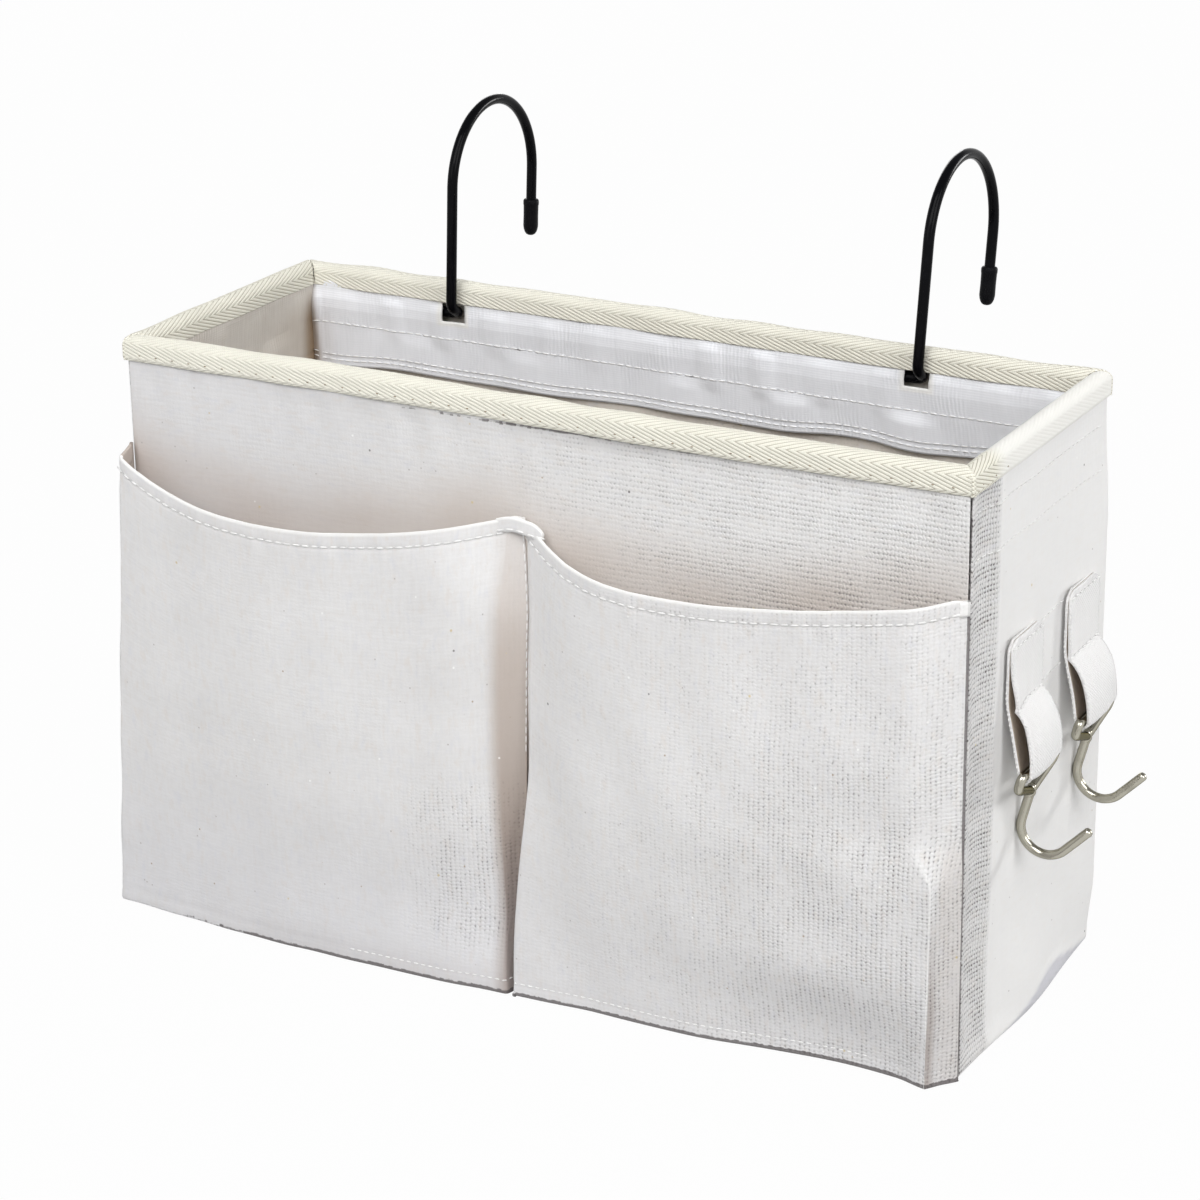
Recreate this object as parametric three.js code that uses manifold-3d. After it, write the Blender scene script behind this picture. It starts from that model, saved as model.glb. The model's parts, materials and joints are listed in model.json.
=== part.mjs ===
// Bedside caddy: a cloth box with front pockets, a net pocket and side hooks,
// which hangs on a bed rail by two coated wire hooks.
// Millimetres, +Z up. The front pockets face -Y, the bed rail lies on the +Y side,
// the side hooks are on the +X end. The origin is the middle of the base's underside.
import * as THREE from 'three';
import { mergeVertices } from 'three/addons/utils/BufferGeometryUtils.js';
import Module from 'manifold-3d';

const wasm = await Module();
wasm.setup();

// Box
const boxLength = 300;
const boxDepth = 110;
const boxHeight = 200;
const cloth = 1;
const plyGap = 0.3;
const boardThickness = 2;
const boardInset = 0.6;

// Rim: a wire ring inside a folded tape
const tape = 0.7;
const rimWireDiameter = 2.4;
const rimWireBevel = 0.6;
const rimCornerRadius = 3;
const bindingOuterDrop = 9.5;
const bindingInnerDrop = 6.6;
const bindingMitreGap = 0.15;

// Facing band inside the mouth
const facing = 0.7;
const facingDrop = 32;
const facingSeamDrop = 19;
const facingSlope = 4.5;
const tunnelHeight = 3.2;
const tunnelSlope = 6.5;

// Bed-rail hooks
const railHookSpacing = 174;
const railHookOffset = 1.5;
const railWire = 3.6;
const toeLength = 18;
const toeBend = 4;
const footReach = 6.8;
const footRise = 3.9;
const footBend = 2.5;
const legLength = 41;
const legLean = 4.2;
const archRadius = 27.4;
const tipLength = 20;
const tipLean = 4.5;
const leftHookTilt = 0;
const rightHookTilt = 5.3;
const slitMargin = 1;
const slitToe = 7;
const slitBottom = 2.9;
const capDiameter = 5.3;
const capLength = 13;
const capDepth = 9;
const capClearance = 0.25;

// Front pockets
const pocketCloth = 1;
const pocketDepth = 12.5;
const pocketFloor = 0.6;
const pocketFoot = 0.95;
const pocketSwell = 60;
const pocketFlare = 9;
const pocketTuck = 3;
const pocketSeamX = -1.5;
const pocketSeamFlange = 3;
const pocketEdgeFlange = 1.5;
const pocketSeamGap = 0.4;
const leftSlope = 6;
const rightSlope = 7;
const rightFold = 4;
const hemLeftEnd = 165;
const hemSeamEnd = 162;
const hemRightEnd = 159.5;
const leftHemPull = 29;
const leftHemReach = 40;
const rightHemPull = 28;
const rightHemReach = 31;

// Net pocket on the left end
const netTop = 143;
const netWidth = 106;
const netThickness = 1;
const netDepth = 7;
const netSelvedge = 3;
const netThread = 1.3;
const netColumns = 12;
const netRows = 15;
const netFloor = 1;
const gussetCloth = 0.8;
const netTapeHeight = 12;

// Straps and side hooks on the right end
const strapWidth = 25;
const strapCloth = 1.2;
const strapTop = 135.5;
const strapStem = 20;
const strapCentres = [-13, 35];
const barHeight = 93;
const barStandOff = 7.2;
const sideWire = 3;
const barClearance = 0.35;
const ringSideGap = 0.8;
const ringSide = 4.5;
const ringHeight = 10.5;
const ringCorner = 1.6;
const weldGap = 1;
const shankLength = 10.5;
const crookRadius = 8.5;
const crookSweep = 150;
const crookTip = 11;
const restGap = 0.4;

// Facets
const wireSides = 10;
const railStep = 2.6;
const ringStep = 1.6;
const crookStep = 2;
const capFacets = 16;
const rimCornerFacets = 5;
const hemFacets = 20;

const halfLength = boxLength / 2;
const halfDepth = boxDepth / 2;
const degrees = Math.PI / 180;

// Heights and insets of the rim's layers. An inset is measured inward from a panel's outer face.
const wireInset = cloth + plyGap + rimWireDiameter / 2;
const facingInset = cloth + plyGap + rimWireDiameter + plyGap;
const bindingOuter = -plyGap - tape;
const bindingInner = facingInset + facing + plyGap + tape;
const crownRadius = (bindingInner - bindingOuter) / 2;
const crownInset = (bindingInner + bindingOuter) / 2;
const crownHeight = boxHeight - crownRadius;
const plyTop = crownHeight - rimWireDiameter / 2 - plyGap;

// The toe of a bed-rail hook lies in the back facing's tunnel and is its hinge
const toeInset = cloth + plyGap + railWire / 2;
const tunnelInset = toeInset + railWire / 2 + plyGap;
const tunnelBottom = boxHeight - facingSeamDrop;
const toeHeight = tunnelBottom + tunnelSlope + railWire / 2 - plyGap;
const toeY = halfDepth - toeInset;

// Plain solids

function solidOf(geometry) {
  const bare = geometry.clone();
  bare.deleteAttribute('normal');
  bare.deleteAttribute('uv');
  const merged = mergeVertices(bare, 1e-4);
  const vertProperties = new Float32Array(merged.attributes.position.array);
  const triVerts = new Uint32Array(merged.index.array);
  return new wasm.Manifold(new wasm.Mesh({ numProp: 3, vertProperties, triVerts }));
}

function geometryOf(solid) {
  const mesh = solid.getMesh();
  const geometry = new THREE.BufferGeometry();
  geometry.setAttribute('position', new THREE.BufferAttribute(mesh.vertProperties, 3));
  geometry.setIndex(new THREE.BufferAttribute(mesh.triVerts, 1));
  geometry.computeVertexNormals();
  return geometry;
}

function block(x0, x1, y0, y1, z0, z1) {
  const geometry = new THREE.BoxGeometry(x1 - x0, y1 - y0, z1 - z0);
  geometry.translate((x0 + x1) / 2, (y0 + y1) / 2, (z0 + z1) / 2);
  return geometry;
}

function extrude(shape, depth, curveSegments = 8) {
  return new THREE.ExtrudeGeometry(shape, { depth, curveSegments, bevelEnabled: false });
}

function wireAlong(path, diameter, stepLength) {
  const section = new THREE.Shape();
  section.absarc(0, 0, diameter / 2, 0, 2 * Math.PI, false);
  const steps = Math.ceil(path.getLength() / stepLength);
  const curveSegments = wireSides / 2;
  return new THREE.ExtrudeGeometry(section, { steps, curveSegments, extrudePath: path });
}

// A path of straight runs with its corners rounded by the given bend lengths
function bentPath(corners, bends) {
  const path = new THREE.CurvePath();
  let from = corners[0];
  for (let i = 1; i < corners.length - 1; i += 1) {
    const corner = corners[i];
    const before = corner.clone().add(corners[i - 1].clone().sub(corner).setLength(bends[i - 1]));
    const after = corner.clone().add(corners[i + 1].clone().sub(corner).setLength(bends[i - 1]));
    path.add(new THREE.LineCurve3(from, before));
    path.add(new THREE.QuadraticBezierCurve3(before, corner, after));
    from = after;
  }
  path.add(new THREE.LineCurve3(from, corners[corners.length - 1]));
  return path;
}

// A band of even thickness along a line of points, as a closed outline
function bandOutline(points, thickness) {
  const half = thickness / 2;
  const sides = [[], []];
  points.forEach((point, i) => {
    const before = points[Math.max(i - 1, 0)];
    const after = points[Math.min(i + 1, points.length - 1)];
    const inward = point.clone().sub(before).normalize();
    const outward = after.clone().sub(point).normalize();
    const along = inward.clone().add(outward).normalize();
    const reach = half / Math.max(along.dot(i > 0 ? inward : outward), 0.5);
    const across = new THREE.Vector2(-along.y, along.x).multiplyScalar(reach);
    sides[0].push(point.clone().add(across));
    sides[1].unshift(point.clone().sub(across));
  });
  return new THREE.Shape([...sides[0], ...sides[1]]);
}

// A strip of a section drawn as (inset, height), along one side of the box.
// Each end is given as a function of the inset, so it can be mitred or cut square.
function rimStrip(section, startOf, endOf) {
  const geometry = extrude(section, 1);
  const position = geometry.attributes.position;
  for (let i = 0; i < position.count; i += 1) {
    const inset = position.getX(i);
    const height = position.getY(i);
    const along = position.getZ(i) < 0.5 ? startOf(inset) : endOf(inset);
    position.setXYZ(i, along, inset, height);
  }
  return geometry;
}

// The four sides of the box. A strip is drawn with +X along the side and +Y inward.
const sidePlaces = {
  front: { turn: 0, x: 0, y: -halfDepth, half: halfLength },
  right: { turn: 90, x: halfLength, y: 0, half: halfDepth },
  back: { turn: 180, x: 0, y: halfDepth, half: halfLength },
  left: { turn: 270, x: -halfLength, y: 0, half: halfDepth },
};

function placeOnSide(geometry, side) {
  const { turn, x, y } = sidePlaces[side];
  geometry.rotateZ(turn * degrees);
  geometry.translate(x, y, 0);
  return geometry;
}

// Materials

function material(color, roughness, metalness = 0) {
  return new THREE.MeshStandardMaterial({ color, roughness, metalness });
}

const linen = material(0xe4e1de, 0.95);
const binding = material(0xe9e4d0, 0.9);
const lining = material(0xdfe4ea, 0.55);
const blackCoat = material(0x101012, 0.25);
const rubber = material(0x141416, 0.7);
const nickel = material(0xc9c7bd, 0.2, 1);
const steel = material(0x8d8f92, 0.4, 1);
const board = material(0x9a8f80, 0.9);
const netting = material(0xf1f0ec, 0.8);

const caddy = new THREE.Group();

function addPart(name, geometry, look, parent = caddy) {
  const mesh = new THREE.Mesh(geometry, look.clone());
  mesh.name = name;
  parent.add(mesh);
  return mesh;
}

// Panels and base

const endReach = halfDepth - cloth - plyGap;
const baseReachX = halfLength - cloth - plyGap;
const boardBottom = cloth + plyGap;

addPart('front_panel', block(-halfLength, halfLength, -halfDepth, -halfDepth + cloth, 0, plyTop), linen);
addPart('back_panel', block(-halfLength, halfLength, halfDepth - cloth, halfDepth, 0, plyTop), linen);
addPart('left_end_panel', block(-halfLength, -halfLength + cloth, -endReach, endReach, 0, plyTop), linen);
addPart('right_end_panel', block(halfLength - cloth, halfLength, -endReach, endReach, 0, plyTop), linen);
addPart('base_panel', block(-baseReachX, baseReachX, -endReach, endReach, 0, cloth), linen);

const boardX = baseReachX - boardInset;
const boardY = endReach - boardInset;
const boardTop = boardBottom + boardThickness;
addPart('base_board', block(-boardX, boardX, -boardY, boardY, boardBottom, boardTop), board);

// Rim wire: one closed ring with rounded corners

function roundedRectangle(halfX, halfY, radius, Outline) {
  const outline = new Outline();
  outline.absarc(halfX - radius, halfY - radius, radius, 0, 90 * degrees, false);
  outline.absarc(radius - halfX, halfY - radius, radius, 90 * degrees, 180 * degrees, false);
  outline.absarc(radius - halfX, radius - halfY, radius, 180 * degrees, 270 * degrees, false);
  outline.absarc(halfX - radius, radius - halfY, radius, 270 * degrees, 360 * degrees, false);
  outline.closePath();
  return outline;
}

function rimWire() {
  const half = rimWireDiameter / 2 - rimWireBevel;
  const middleX = halfLength - wireInset;
  const middleY = halfDepth - wireInset;
  const ring = roundedRectangle(middleX + half, middleY + half, rimCornerRadius + half, THREE.Shape);
  ring.holes.push(roundedRectangle(middleX - half, middleY - half, rimCornerRadius - half, THREE.Path));
  const geometry = new THREE.ExtrudeGeometry(ring, {
    depth: rimWireDiameter - 2 * rimWireBevel,
    curveSegments: rimCornerFacets,
    bevelEnabled: true,
    bevelThickness: rimWireBevel,
    bevelSize: rimWireBevel,
    bevelSegments: 1,
  });
  geometry.translate(0, 0, crownHeight - rimWireDiameter / 2 + rimWireBevel);
  return geometry;
}

addPart('rim_wire', rimWire(), steel);

// Binding: a tape folded over the rim, one strip to each side, mitred at the corners

function bindingSection() {
  const outerBottom = boxHeight - bindingOuterDrop;
  const innerBottom = boxHeight - bindingInnerDrop;
  const section = new THREE.Shape();
  section.moveTo(bindingOuter, outerBottom);
  section.lineTo(bindingOuter + tape, outerBottom);
  section.lineTo(bindingOuter + tape, crownHeight);
  section.absarc(crownInset, crownHeight, crownRadius - tape, 180 * degrees, 0, true);
  section.lineTo(bindingInner - tape, innerBottom);
  section.lineTo(bindingInner, innerBottom);
  section.lineTo(bindingInner, crownHeight);
  section.absarc(crownInset, crownHeight, crownRadius, 0, 180 * degrees, false);
  section.closePath();
  return section;
}

for (const side of Object.keys(sidePlaces)) {
  const { half } = sidePlaces[side];
  const startOf = (inset) => inset - half + bindingMitreGap;
  const endOf = (inset) => half - inset - bindingMitreGap;
  const strip = rimStrip(bindingSection(), startOf, endOf);
  addPart(`rim_binding_${side}`, placeOnSide(strip, side), binding);
}

// Facing: a band of lining inside the mouth. On the back it forms the hooks' tunnel.

const facingFlat = cloth + plyGap + facing / 2;
const facingUpper = facingInset + facing / 2;
const facingBottom = boxHeight - facingDrop;

function backFacingSection() {
  const bulge = tunnelInset + facing / 2;
  const shoulder = tunnelBottom + tunnelSlope + tunnelHeight;
  const points = [
    new THREE.Vector2(facingUpper, plyTop),
    new THREE.Vector2(facingUpper, shoulder + (bulge - facingUpper)),
    new THREE.Vector2(bulge, shoulder),
    new THREE.Vector2(bulge, tunnelBottom + tunnelSlope),
    new THREE.Vector2(facingFlat, tunnelBottom),
    new THREE.Vector2(facingFlat, facingBottom),
  ];
  return bandOutline(points, facing);
}

function endFacingSection() {
  const points = [
    new THREE.Vector2(facingUpper, plyTop),
    new THREE.Vector2(facingUpper, tunnelBottom + facingSlope),
    new THREE.Vector2(facingFlat, tunnelBottom),
    new THREE.Vector2(facingFlat, facingBottom),
  ];
  return bandOutline(points, facing);
}

const railHookPlaces = [
  { side: 'left', x: -railHookSpacing / 2 + railHookOffset, tilt: leftHookTilt },
  { side: 'right', x: railHookSpacing / 2 + railHookOffset, tilt: rightHookTilt },
];

// Each slit lets a hook's foot out of the tunnel, and its bottom clears the hook folded forward
function backFacing() {
  const startOf = (inset) => inset - halfLength + bindingMitreGap;
  const endOf = (inset) => halfLength - inset - bindingMitreGap;
  const strip = rimStrip(backFacingSection(), startOf, endOf);
  let solid = solidOf(placeOnSide(strip, 'back'));
  for (const { x } of railHookPlaces) {
    const slit = block(
      x - slitToe,
      x + railWire / 2 + slitMargin,
      halfDepth - tunnelInset - 2 * facing,
      halfDepth - facingInset + plyGap,
      toeHeight - slitBottom,
      boxHeight - bindingInnerDrop,
    );
    solid = solid.subtract(solidOf(slit));
  }
  return geometryOf(solid);
}

addPart('back_facing', backFacing(), lining);

for (const side of ['left', 'right']) {
  const mitred = (inset) => halfDepth - inset - bindingMitreGap;
  const square = () => -halfDepth + cloth + plyGap;
  const startOf = side === 'right' ? square : (inset) => -mitred(inset);
  const endOf = side === 'right' ? mitred : () => -square();
  const strip = rimStrip(endFacingSection(), startOf, endOf);
  addPart(`${side}_end_facing`, placeOnSide(strip, side), lining);
}

// Bed-rail hooks: toe, foot, leg, arch and tip of one bent wire, with a rubber cap on the tip.
// A hook is drawn about its toe's axis, with the toe along -X and the arch over +Y.

function railHookRoute() {
  const lean = legLean * degrees;
  const flare = tipLean * degrees;
  const toeEnd = new THREE.Vector3(-toeLength, 0, 0);
  const heel = new THREE.Vector3(0, 0, 0);
  const ankle = new THREE.Vector3(0, -footReach, footRise);
  const legTop = new THREE.Vector3(0, Math.sin(lean), Math.cos(lean)).multiplyScalar(legLength).add(ankle);
  const path = bentPath([toeEnd, heel, ankle, legTop], [toeBend, footBend]);
  const centreY = legTop.y + archRadius * Math.cos(lean);
  const centreZ = legTop.z - archRadius * Math.sin(lean);
  path.add(new ArchCurve(centreY, centreZ, 180 * degrees - lean, -flare));
  const tipStart = path.curves[path.curves.length - 1].getPoint(1);
  const tipWay = new THREE.Vector3(0, -Math.sin(flare), -Math.cos(flare));
  path.add(new THREE.LineCurve3(tipStart, tipStart.clone().addScaledVector(tipWay, tipLength)));
  return { path, tipStart, tipWay };
}

// The round part of a hook, in the plane of X = 0
class ArchCurve extends THREE.Curve {
  constructor(centreY, centreZ, from, to) {
    super();
    this.centre = new THREE.Vector3(0, centreY, centreZ);
    this.from = from;
    this.to = to;
  }

  getPoint(t, target = new THREE.Vector3()) {
    const angle = this.from + (this.to - this.from) * t;
    target.set(0, Math.cos(angle), Math.sin(angle));
    return target.multiplyScalar(archRadius).add(this.centre);
  }
}

function capGeometry() {
  const outer = capDiameter / 2;
  const bore = railWire / 2 + capClearance;
  const bevel = (outer - bore) / 2;
  const profile = [
    new THREE.Vector2(0, 0),
    new THREE.Vector2(outer - 4 * bevel, 0),
    new THREE.Vector2(outer, 4 * bevel),
    new THREE.Vector2(outer, capLength - bevel),
    new THREE.Vector2(outer - bevel, capLength),
    new THREE.Vector2(bore, capLength),
    new THREE.Vector2(bore, capLength - capDepth),
    new THREE.Vector2(0, capLength - capDepth),
  ];
  return new THREE.LatheGeometry(profile, capFacets);
}

for (const { side, x, tilt } of railHookPlaces) {
  const hook = new THREE.Group();
  hook.position.set(x, toeY, toeHeight);
  hook.rotation.x = -tilt * degrees;
  caddy.add(hook);
  const { path, tipStart, tipWay } = railHookRoute();
  addPart(`rail_hook_${side}`, wireAlong(path, railWire, railStep), blackCoat, hook);
  const cap = addPart(`rail_hook_cap_${side}`, capGeometry(), rubber, hook);
  const capBottom = tipLength + capLength - capDepth + capClearance;
  cap.position.copy(tipStart).addScaledVector(tipWay, capBottom);
  cap.quaternion.setFromUnitVectors(new THREE.Vector3(0, 1, 0), tipWay.clone().negate());
}

// Front pockets: a bag with its hem cut in a hollow curve.
// The plan of a pocket runs from left to right, as (x, share of the pocket's depth, share of its flare).
// A pocket flares past the end of the box at its foot and leans in a little at its hem.

const pocketFace = -halfDepth - plyGap;
const pocketTop = Math.max(hemLeftEnd, hemSeamEnd, hemRightEnd);

function pocketPlans() {
  const leftEdge = -halfLength;
  const leftSeam = pocketSeamX - pocketSeamGap / 2;
  const rightSeam = pocketSeamX + pocketSeamGap / 2;
  const left = [
    [leftEdge, 0],
    [leftEdge, 1, 1],
    [leftSeam - pocketSeamFlange - leftSlope, 1],
    [leftSeam - pocketSeamFlange - leftSlope / 3, 0.55],
    [leftSeam - pocketSeamFlange, 0],
    [leftSeam, 0],
  ];
  const right = [
    [rightSeam, 0],
    [rightSeam + rightFold / 2, 0],
    [rightSeam + rightFold, 1],
    [halfLength - pocketEdgeFlange - rightSlope, 1],
    [halfLength - pocketEdgeFlange - rightSlope / 3, 0.55],
    [halfLength - pocketEdgeFlange, 0],
    [halfLength, 0],
  ];
  return { left, right };
}

// The room inside a pocket's cloth at one height, or its outside when grown by the cloth
function pocketRing(plan, height, grow, flange, back) {
  const rise = Math.min(1, Math.sqrt((height - pocketFloor) / pocketSwell));
  const swell = pocketFoot + (1 - pocketFoot) * rise;
  const room = (pocketDepth - pocketCloth) * swell + grow;
  const first = plan[0][0] + pocketCloth - grow;
  const last = plan[plan.length - 1][0];
  const flare = THREE.MathUtils.mapLinear(height, pocketFloor, pocketTop, pocketFlare, -pocketTuck);
  const ring = plan.map(([x, share, flareShare = 0]) => {
    const depth = THREE.MathUtils.lerp(flange, room, share);
    return new THREE.Vector3(Math.max(x, first) - flareShare * flare, pocketFace - depth, height);
  });
  ring.push(new THREE.Vector3(last, back, height));
  ring.push(new THREE.Vector3(first, back, height));
  return ring;
}

// A solid through a stack of rings with the same count of points
function loft(rings) {
  const count = rings[0].length;
  const vertices = rings.flat().flatMap((point) => point.toArray());
  const faces = [];
  for (let level = 0; level < rings.length - 1; level += 1) {
    for (let i = 0; i < count; i += 1) {
      const a = level * count + i;
      const b = level * count + ((i + 1) % count);
      faces.push(a, b, b + count, a, b + count, a + count);
    }
  }
  const outline = rings[0].map((point) => new THREE.Vector2(point.x, point.y));
  const top = (rings.length - 1) * count;
  for (const [a, b, c] of THREE.ShapeUtils.triangulateShape(outline, [])) {
    faces.push(a, c, b, a + top, b + top, c + top);
  }
  const geometry = new THREE.BufferGeometry();
  geometry.setAttribute('position', new THREE.Float32BufferAttribute(vertices, 3));
  geometry.setIndex(faces);
  return geometry;
}

// What is cut away above a hem that dips from its start toward a point near its left end
function hemCutter(x0, x1, { start, end, pull, reach }) {
  const above = boxHeight;
  const outline = new THREE.Shape();
  outline.moveTo(x0, start);
  outline.quadraticCurveTo(x0 + reach, hemSeamEnd - pull, x1, end);
  outline.lineTo(x1 + pocketDepth, above);
  outline.lineTo(x0 - pocketDepth, above);
  outline.closePath();
  const geometry = extrude(outline, 4 * pocketDepth, hemFacets);
  geometry.rotateX(90 * degrees);
  geometry.translate(0, -halfDepth + pocketDepth, 0);
  return geometry;
}

function pocket(plan, hem) {
  const heights = [0, 0.04, 0.15, 0.45, 1].map((share) => pocketFloor + share * pocketSwell);
  heights.push(pocketTop);
  const outer = heights.map((height) => pocketRing(plan, height, pocketCloth, pocketCloth, pocketFace));
  const clear = heights.map((height) => pocketRing(plan, height, 0, -plyGap, pocketFace + pocketCloth));
  clear[0].forEach((point) => point.setZ(pocketFloor + pocketCloth));
  clear[clear.length - 1].forEach((point) => point.setZ(pocketTop + pocketCloth));
  const shell = solidOf(loft(outer)).subtract(solidOf(loft(clear)));
  const cutter = hemCutter(plan[0][0], plan[plan.length - 1][0], hem);
  return geometryOf(shell.subtract(solidOf(cutter)));
}

const plans = pocketPlans();
const leftHem = { start: hemLeftEnd, end: hemSeamEnd, pull: leftHemPull, reach: leftHemReach };
const rightHem = { start: hemSeamEnd, end: hemRightEnd, pull: rightHemPull, reach: rightHemReach };
addPart('left_pocket', pocket(plans.left, leftHem), linen);
addPart('right_pocket', pocket(plans.right, rightHem), linen);

// Net pocket: a flat net held off the left end by a gusset, with tape over its top edge

const gussetInner = -halfLength - plyGap;
const gussetOuter = gussetInner - netDepth;
const netFace = gussetOuter - plyGap;

function netGusset() {
  const halfWidth = netWidth / 2 - gussetCloth / 2;
  const floor = netFloor + gussetCloth / 2;
  const line = [
    new THREE.Vector2(-halfWidth, netTop),
    new THREE.Vector2(-halfWidth, floor),
    new THREE.Vector2(halfWidth, floor),
    new THREE.Vector2(halfWidth, netTop),
  ];
  const geometry = extrude(bandOutline(line, gussetCloth), netDepth);
  geometry.rotateX(90 * degrees);
  geometry.rotateZ(90 * degrees);
  geometry.translate(gussetOuter, 0, 0);
  return geometry;
}

// The lines that bound the threads and gaps of a net in one direction
function netLines(start, end, firstEdge, lastEdge, count) {
  const pitch = (end - lastEdge - start - firstEdge + netThread) / count;
  const lines = [start];
  for (let i = 0; i < count; i += 1) {
    const gap = start + firstEdge + i * pitch;
    lines.push(gap, gap + pitch - netThread);
  }
  lines.push(end);
  return lines;
}

// A flat net on a grid of lines: a cell is open where its column and its row are both gaps
function net() {
  const ys = netLines(-netWidth / 2, netWidth / 2, netSelvedge, netSelvedge, netColumns);
  const zs = netLines(netFloor, netTop, netSelvedge, netTapeHeight, netRows);
  const isInside = (a, b) => a >= 0 && b >= 0 && a < ys.length - 1 && b < zs.length - 1;
  const isThread = (a, b) => isInside(a, b) && (a % 2 === 0 || b % 2 === 0);
  const corner = (layer, a, b) => (layer * ys.length + a) * zs.length + b;
  const vertices = [];
  for (const x of [netFace - netThickness, netFace]) {
    ys.forEach((y) => zs.forEach((z) => vertices.push(x, y, z)));
  }
  const faces = [];
  const quad = (p, q, r, s) => faces.push(p, q, r, p, r, s);
  for (let a = 0; a < ys.length - 1; a += 1) {
    for (let b = 0; b < zs.length - 1; b += 1) {
      if (!isThread(a, b)) {
        continue;
      }
      const near = [corner(0, a, b), corner(0, a + 1, b), corner(0, a + 1, b + 1), corner(0, a, b + 1)];
      const far = [corner(1, a, b), corner(1, a + 1, b), corner(1, a + 1, b + 1), corner(1, a, b + 1)];
      quad(near[0], near[3], near[2], near[1]);
      quad(far[0], far[1], far[2], far[3]);
      const neighbours = [[a, b - 1], [a + 1, b], [a, b + 1], [a - 1, b]];
      neighbours.forEach(([c, d], side) => {
        if (!isThread(c, d)) {
          const next = (side + 1) % 4;
          quad(near[side], near[next], far[next], far[side]);
        }
      });
    }
  }
  const geometry = new THREE.BufferGeometry();
  geometry.setAttribute('position', new THREE.Float32BufferAttribute(vertices, 3));
  geometry.setIndex(faces);
  return geometry;
}

function netTape() {
  const outside = netFace - netThickness - plyGap;
  const inside = netFace + plyGap;
  const bottom = netTop - netTapeHeight;
  const roof = netTop + plyGap;
  const outline = new THREE.Shape();
  outline.moveTo(outside - tape, bottom);
  outline.lineTo(outside, bottom);
  outline.lineTo(outside, roof);
  outline.lineTo(inside, roof);
  outline.lineTo(inside, netTop - netTapeHeight);
  outline.lineTo(inside + tape, netTop - netTapeHeight);
  outline.lineTo(inside + tape, roof + tape);
  outline.lineTo(outside - tape, roof + tape);
  outline.closePath();
  const length = netWidth - 2 * gussetCloth - 2 * plyGap;
  const geometry = extrude(outline, length);
  geometry.rotateX(90 * degrees);
  geometry.translate(0, length / 2, 0);
  return geometry;
}

addPart('net_gusset', netGusset(), linen);
addPart('net', net(), netting);
addPart('net_binding', netTape(), binding);

// Straps: a tape sewn double to the right end, with a loop below that holds a hook's ring

const strapFace = halfLength + plyGap;
const barX = halfLength + barStandOff;
const loopBore = sideWire / 2 + barClearance;

function strap(centre) {
  const loopOuter = loopBore + strapCloth;
  const front = strapFace + 2 * strapCloth;
  const stemBottom = strapTop - strapStem;
  const waist = (stemBottom + barHeight) / 2;
  const outline = new THREE.Shape();
  outline.moveTo(strapFace, strapTop);
  outline.lineTo(strapFace, stemBottom);
  outline.quadraticCurveTo(strapFace, waist, barX - loopOuter, barHeight);
  outline.absarc(barX, barHeight, loopOuter, 180 * degrees, 360 * degrees, false);
  outline.quadraticCurveTo(barX + loopOuter, waist, front, stemBottom);
  outline.lineTo(front, strapTop);
  outline.closePath();
  const loop = new THREE.Path();
  loop.moveTo(strapFace + strapCloth, stemBottom - strapCloth);
  loop.quadraticCurveTo(strapFace + strapCloth, waist, barX - loopBore, barHeight);
  loop.absarc(barX, barHeight, loopBore, 180 * degrees, 360 * degrees, false);
  loop.quadraticCurveTo(barX + loopBore, waist, strapFace + strapCloth, stemBottom - strapCloth);
  outline.holes.push(loop);
  const geometry = extrude(outline, strapWidth);
  geometry.rotateX(90 * degrees);
  geometry.translate(0, centre + strapWidth / 2, 0);
  return geometry;
}

// Side hook: a ring as wide as the strap, welded to a J. It is drawn about the ring's bar,
// with the bar along Y and the J opening toward +X.
function sideHook() {
  const halfBar = strapWidth / 2 + ringSideGap + sideWire / 2;
  const apex = new THREE.Vector3(0, 0, -ringHeight);
  const rearCorner = new THREE.Vector3(0, halfBar, -ringSide);
  const frontCorner = new THREE.Vector3(0, -halfBar, -ringSide);
  const ring = bentPath(
    [
      apex.clone().add(rearCorner.clone().sub(apex).setLength(weldGap)),
      rearCorner,
      new THREE.Vector3(0, halfBar, 0),
      new THREE.Vector3(0, -halfBar, 0),
      frontCorner,
      apex.clone().add(frontCorner.clone().sub(apex).setLength(weldGap)),
    ],
    [ringCorner, ringCorner, ringCorner, ringCorner],
  );
  const sweep = crookSweep * degrees;
  const crookTop = -ringHeight - shankLength;
  const jay = new THREE.CurvePath();
  const shankTop = new THREE.Vector3(0, 0, weldGap - ringHeight);
  jay.add(new THREE.LineCurve3(shankTop, new THREE.Vector3(0, 0, crookTop)));
  const crook = new CrookCurve(crookTop, sweep);
  jay.add(crook);
  const crookEnd = crook.getPoint(1);
  const tipWay = new THREE.Vector3(Math.sin(sweep), 0, -Math.cos(sweep));
  jay.add(new THREE.LineCurve3(crookEnd, crookEnd.clone().addScaledVector(tipWay, crookTip)));
  const ringSolid = solidOf(wireAlong(ring, sideWire, ringStep));
  return geometryOf(ringSolid.add(solidOf(wireAlong(jay, sideWire, crookStep))));
}

// The round part of the J, which starts straight down and turns toward +X
class CrookCurve extends THREE.Curve {
  constructor(top, sweep) {
    super();
    this.top = top;
    this.sweep = sweep;
  }

  getPoint(t, target = new THREE.Vector3()) {
    const turn = this.sweep * t;
    const x = crookRadius * (1 - Math.cos(turn));
    return target.set(x, 0, this.top - crookRadius * Math.sin(turn));
  }
}

// A hook hangs with its shank leaning on the end panel
const sideHookLean = Math.asin((barStandOff - sideWire / 2 - restGap) / (ringHeight + shankLength));

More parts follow.
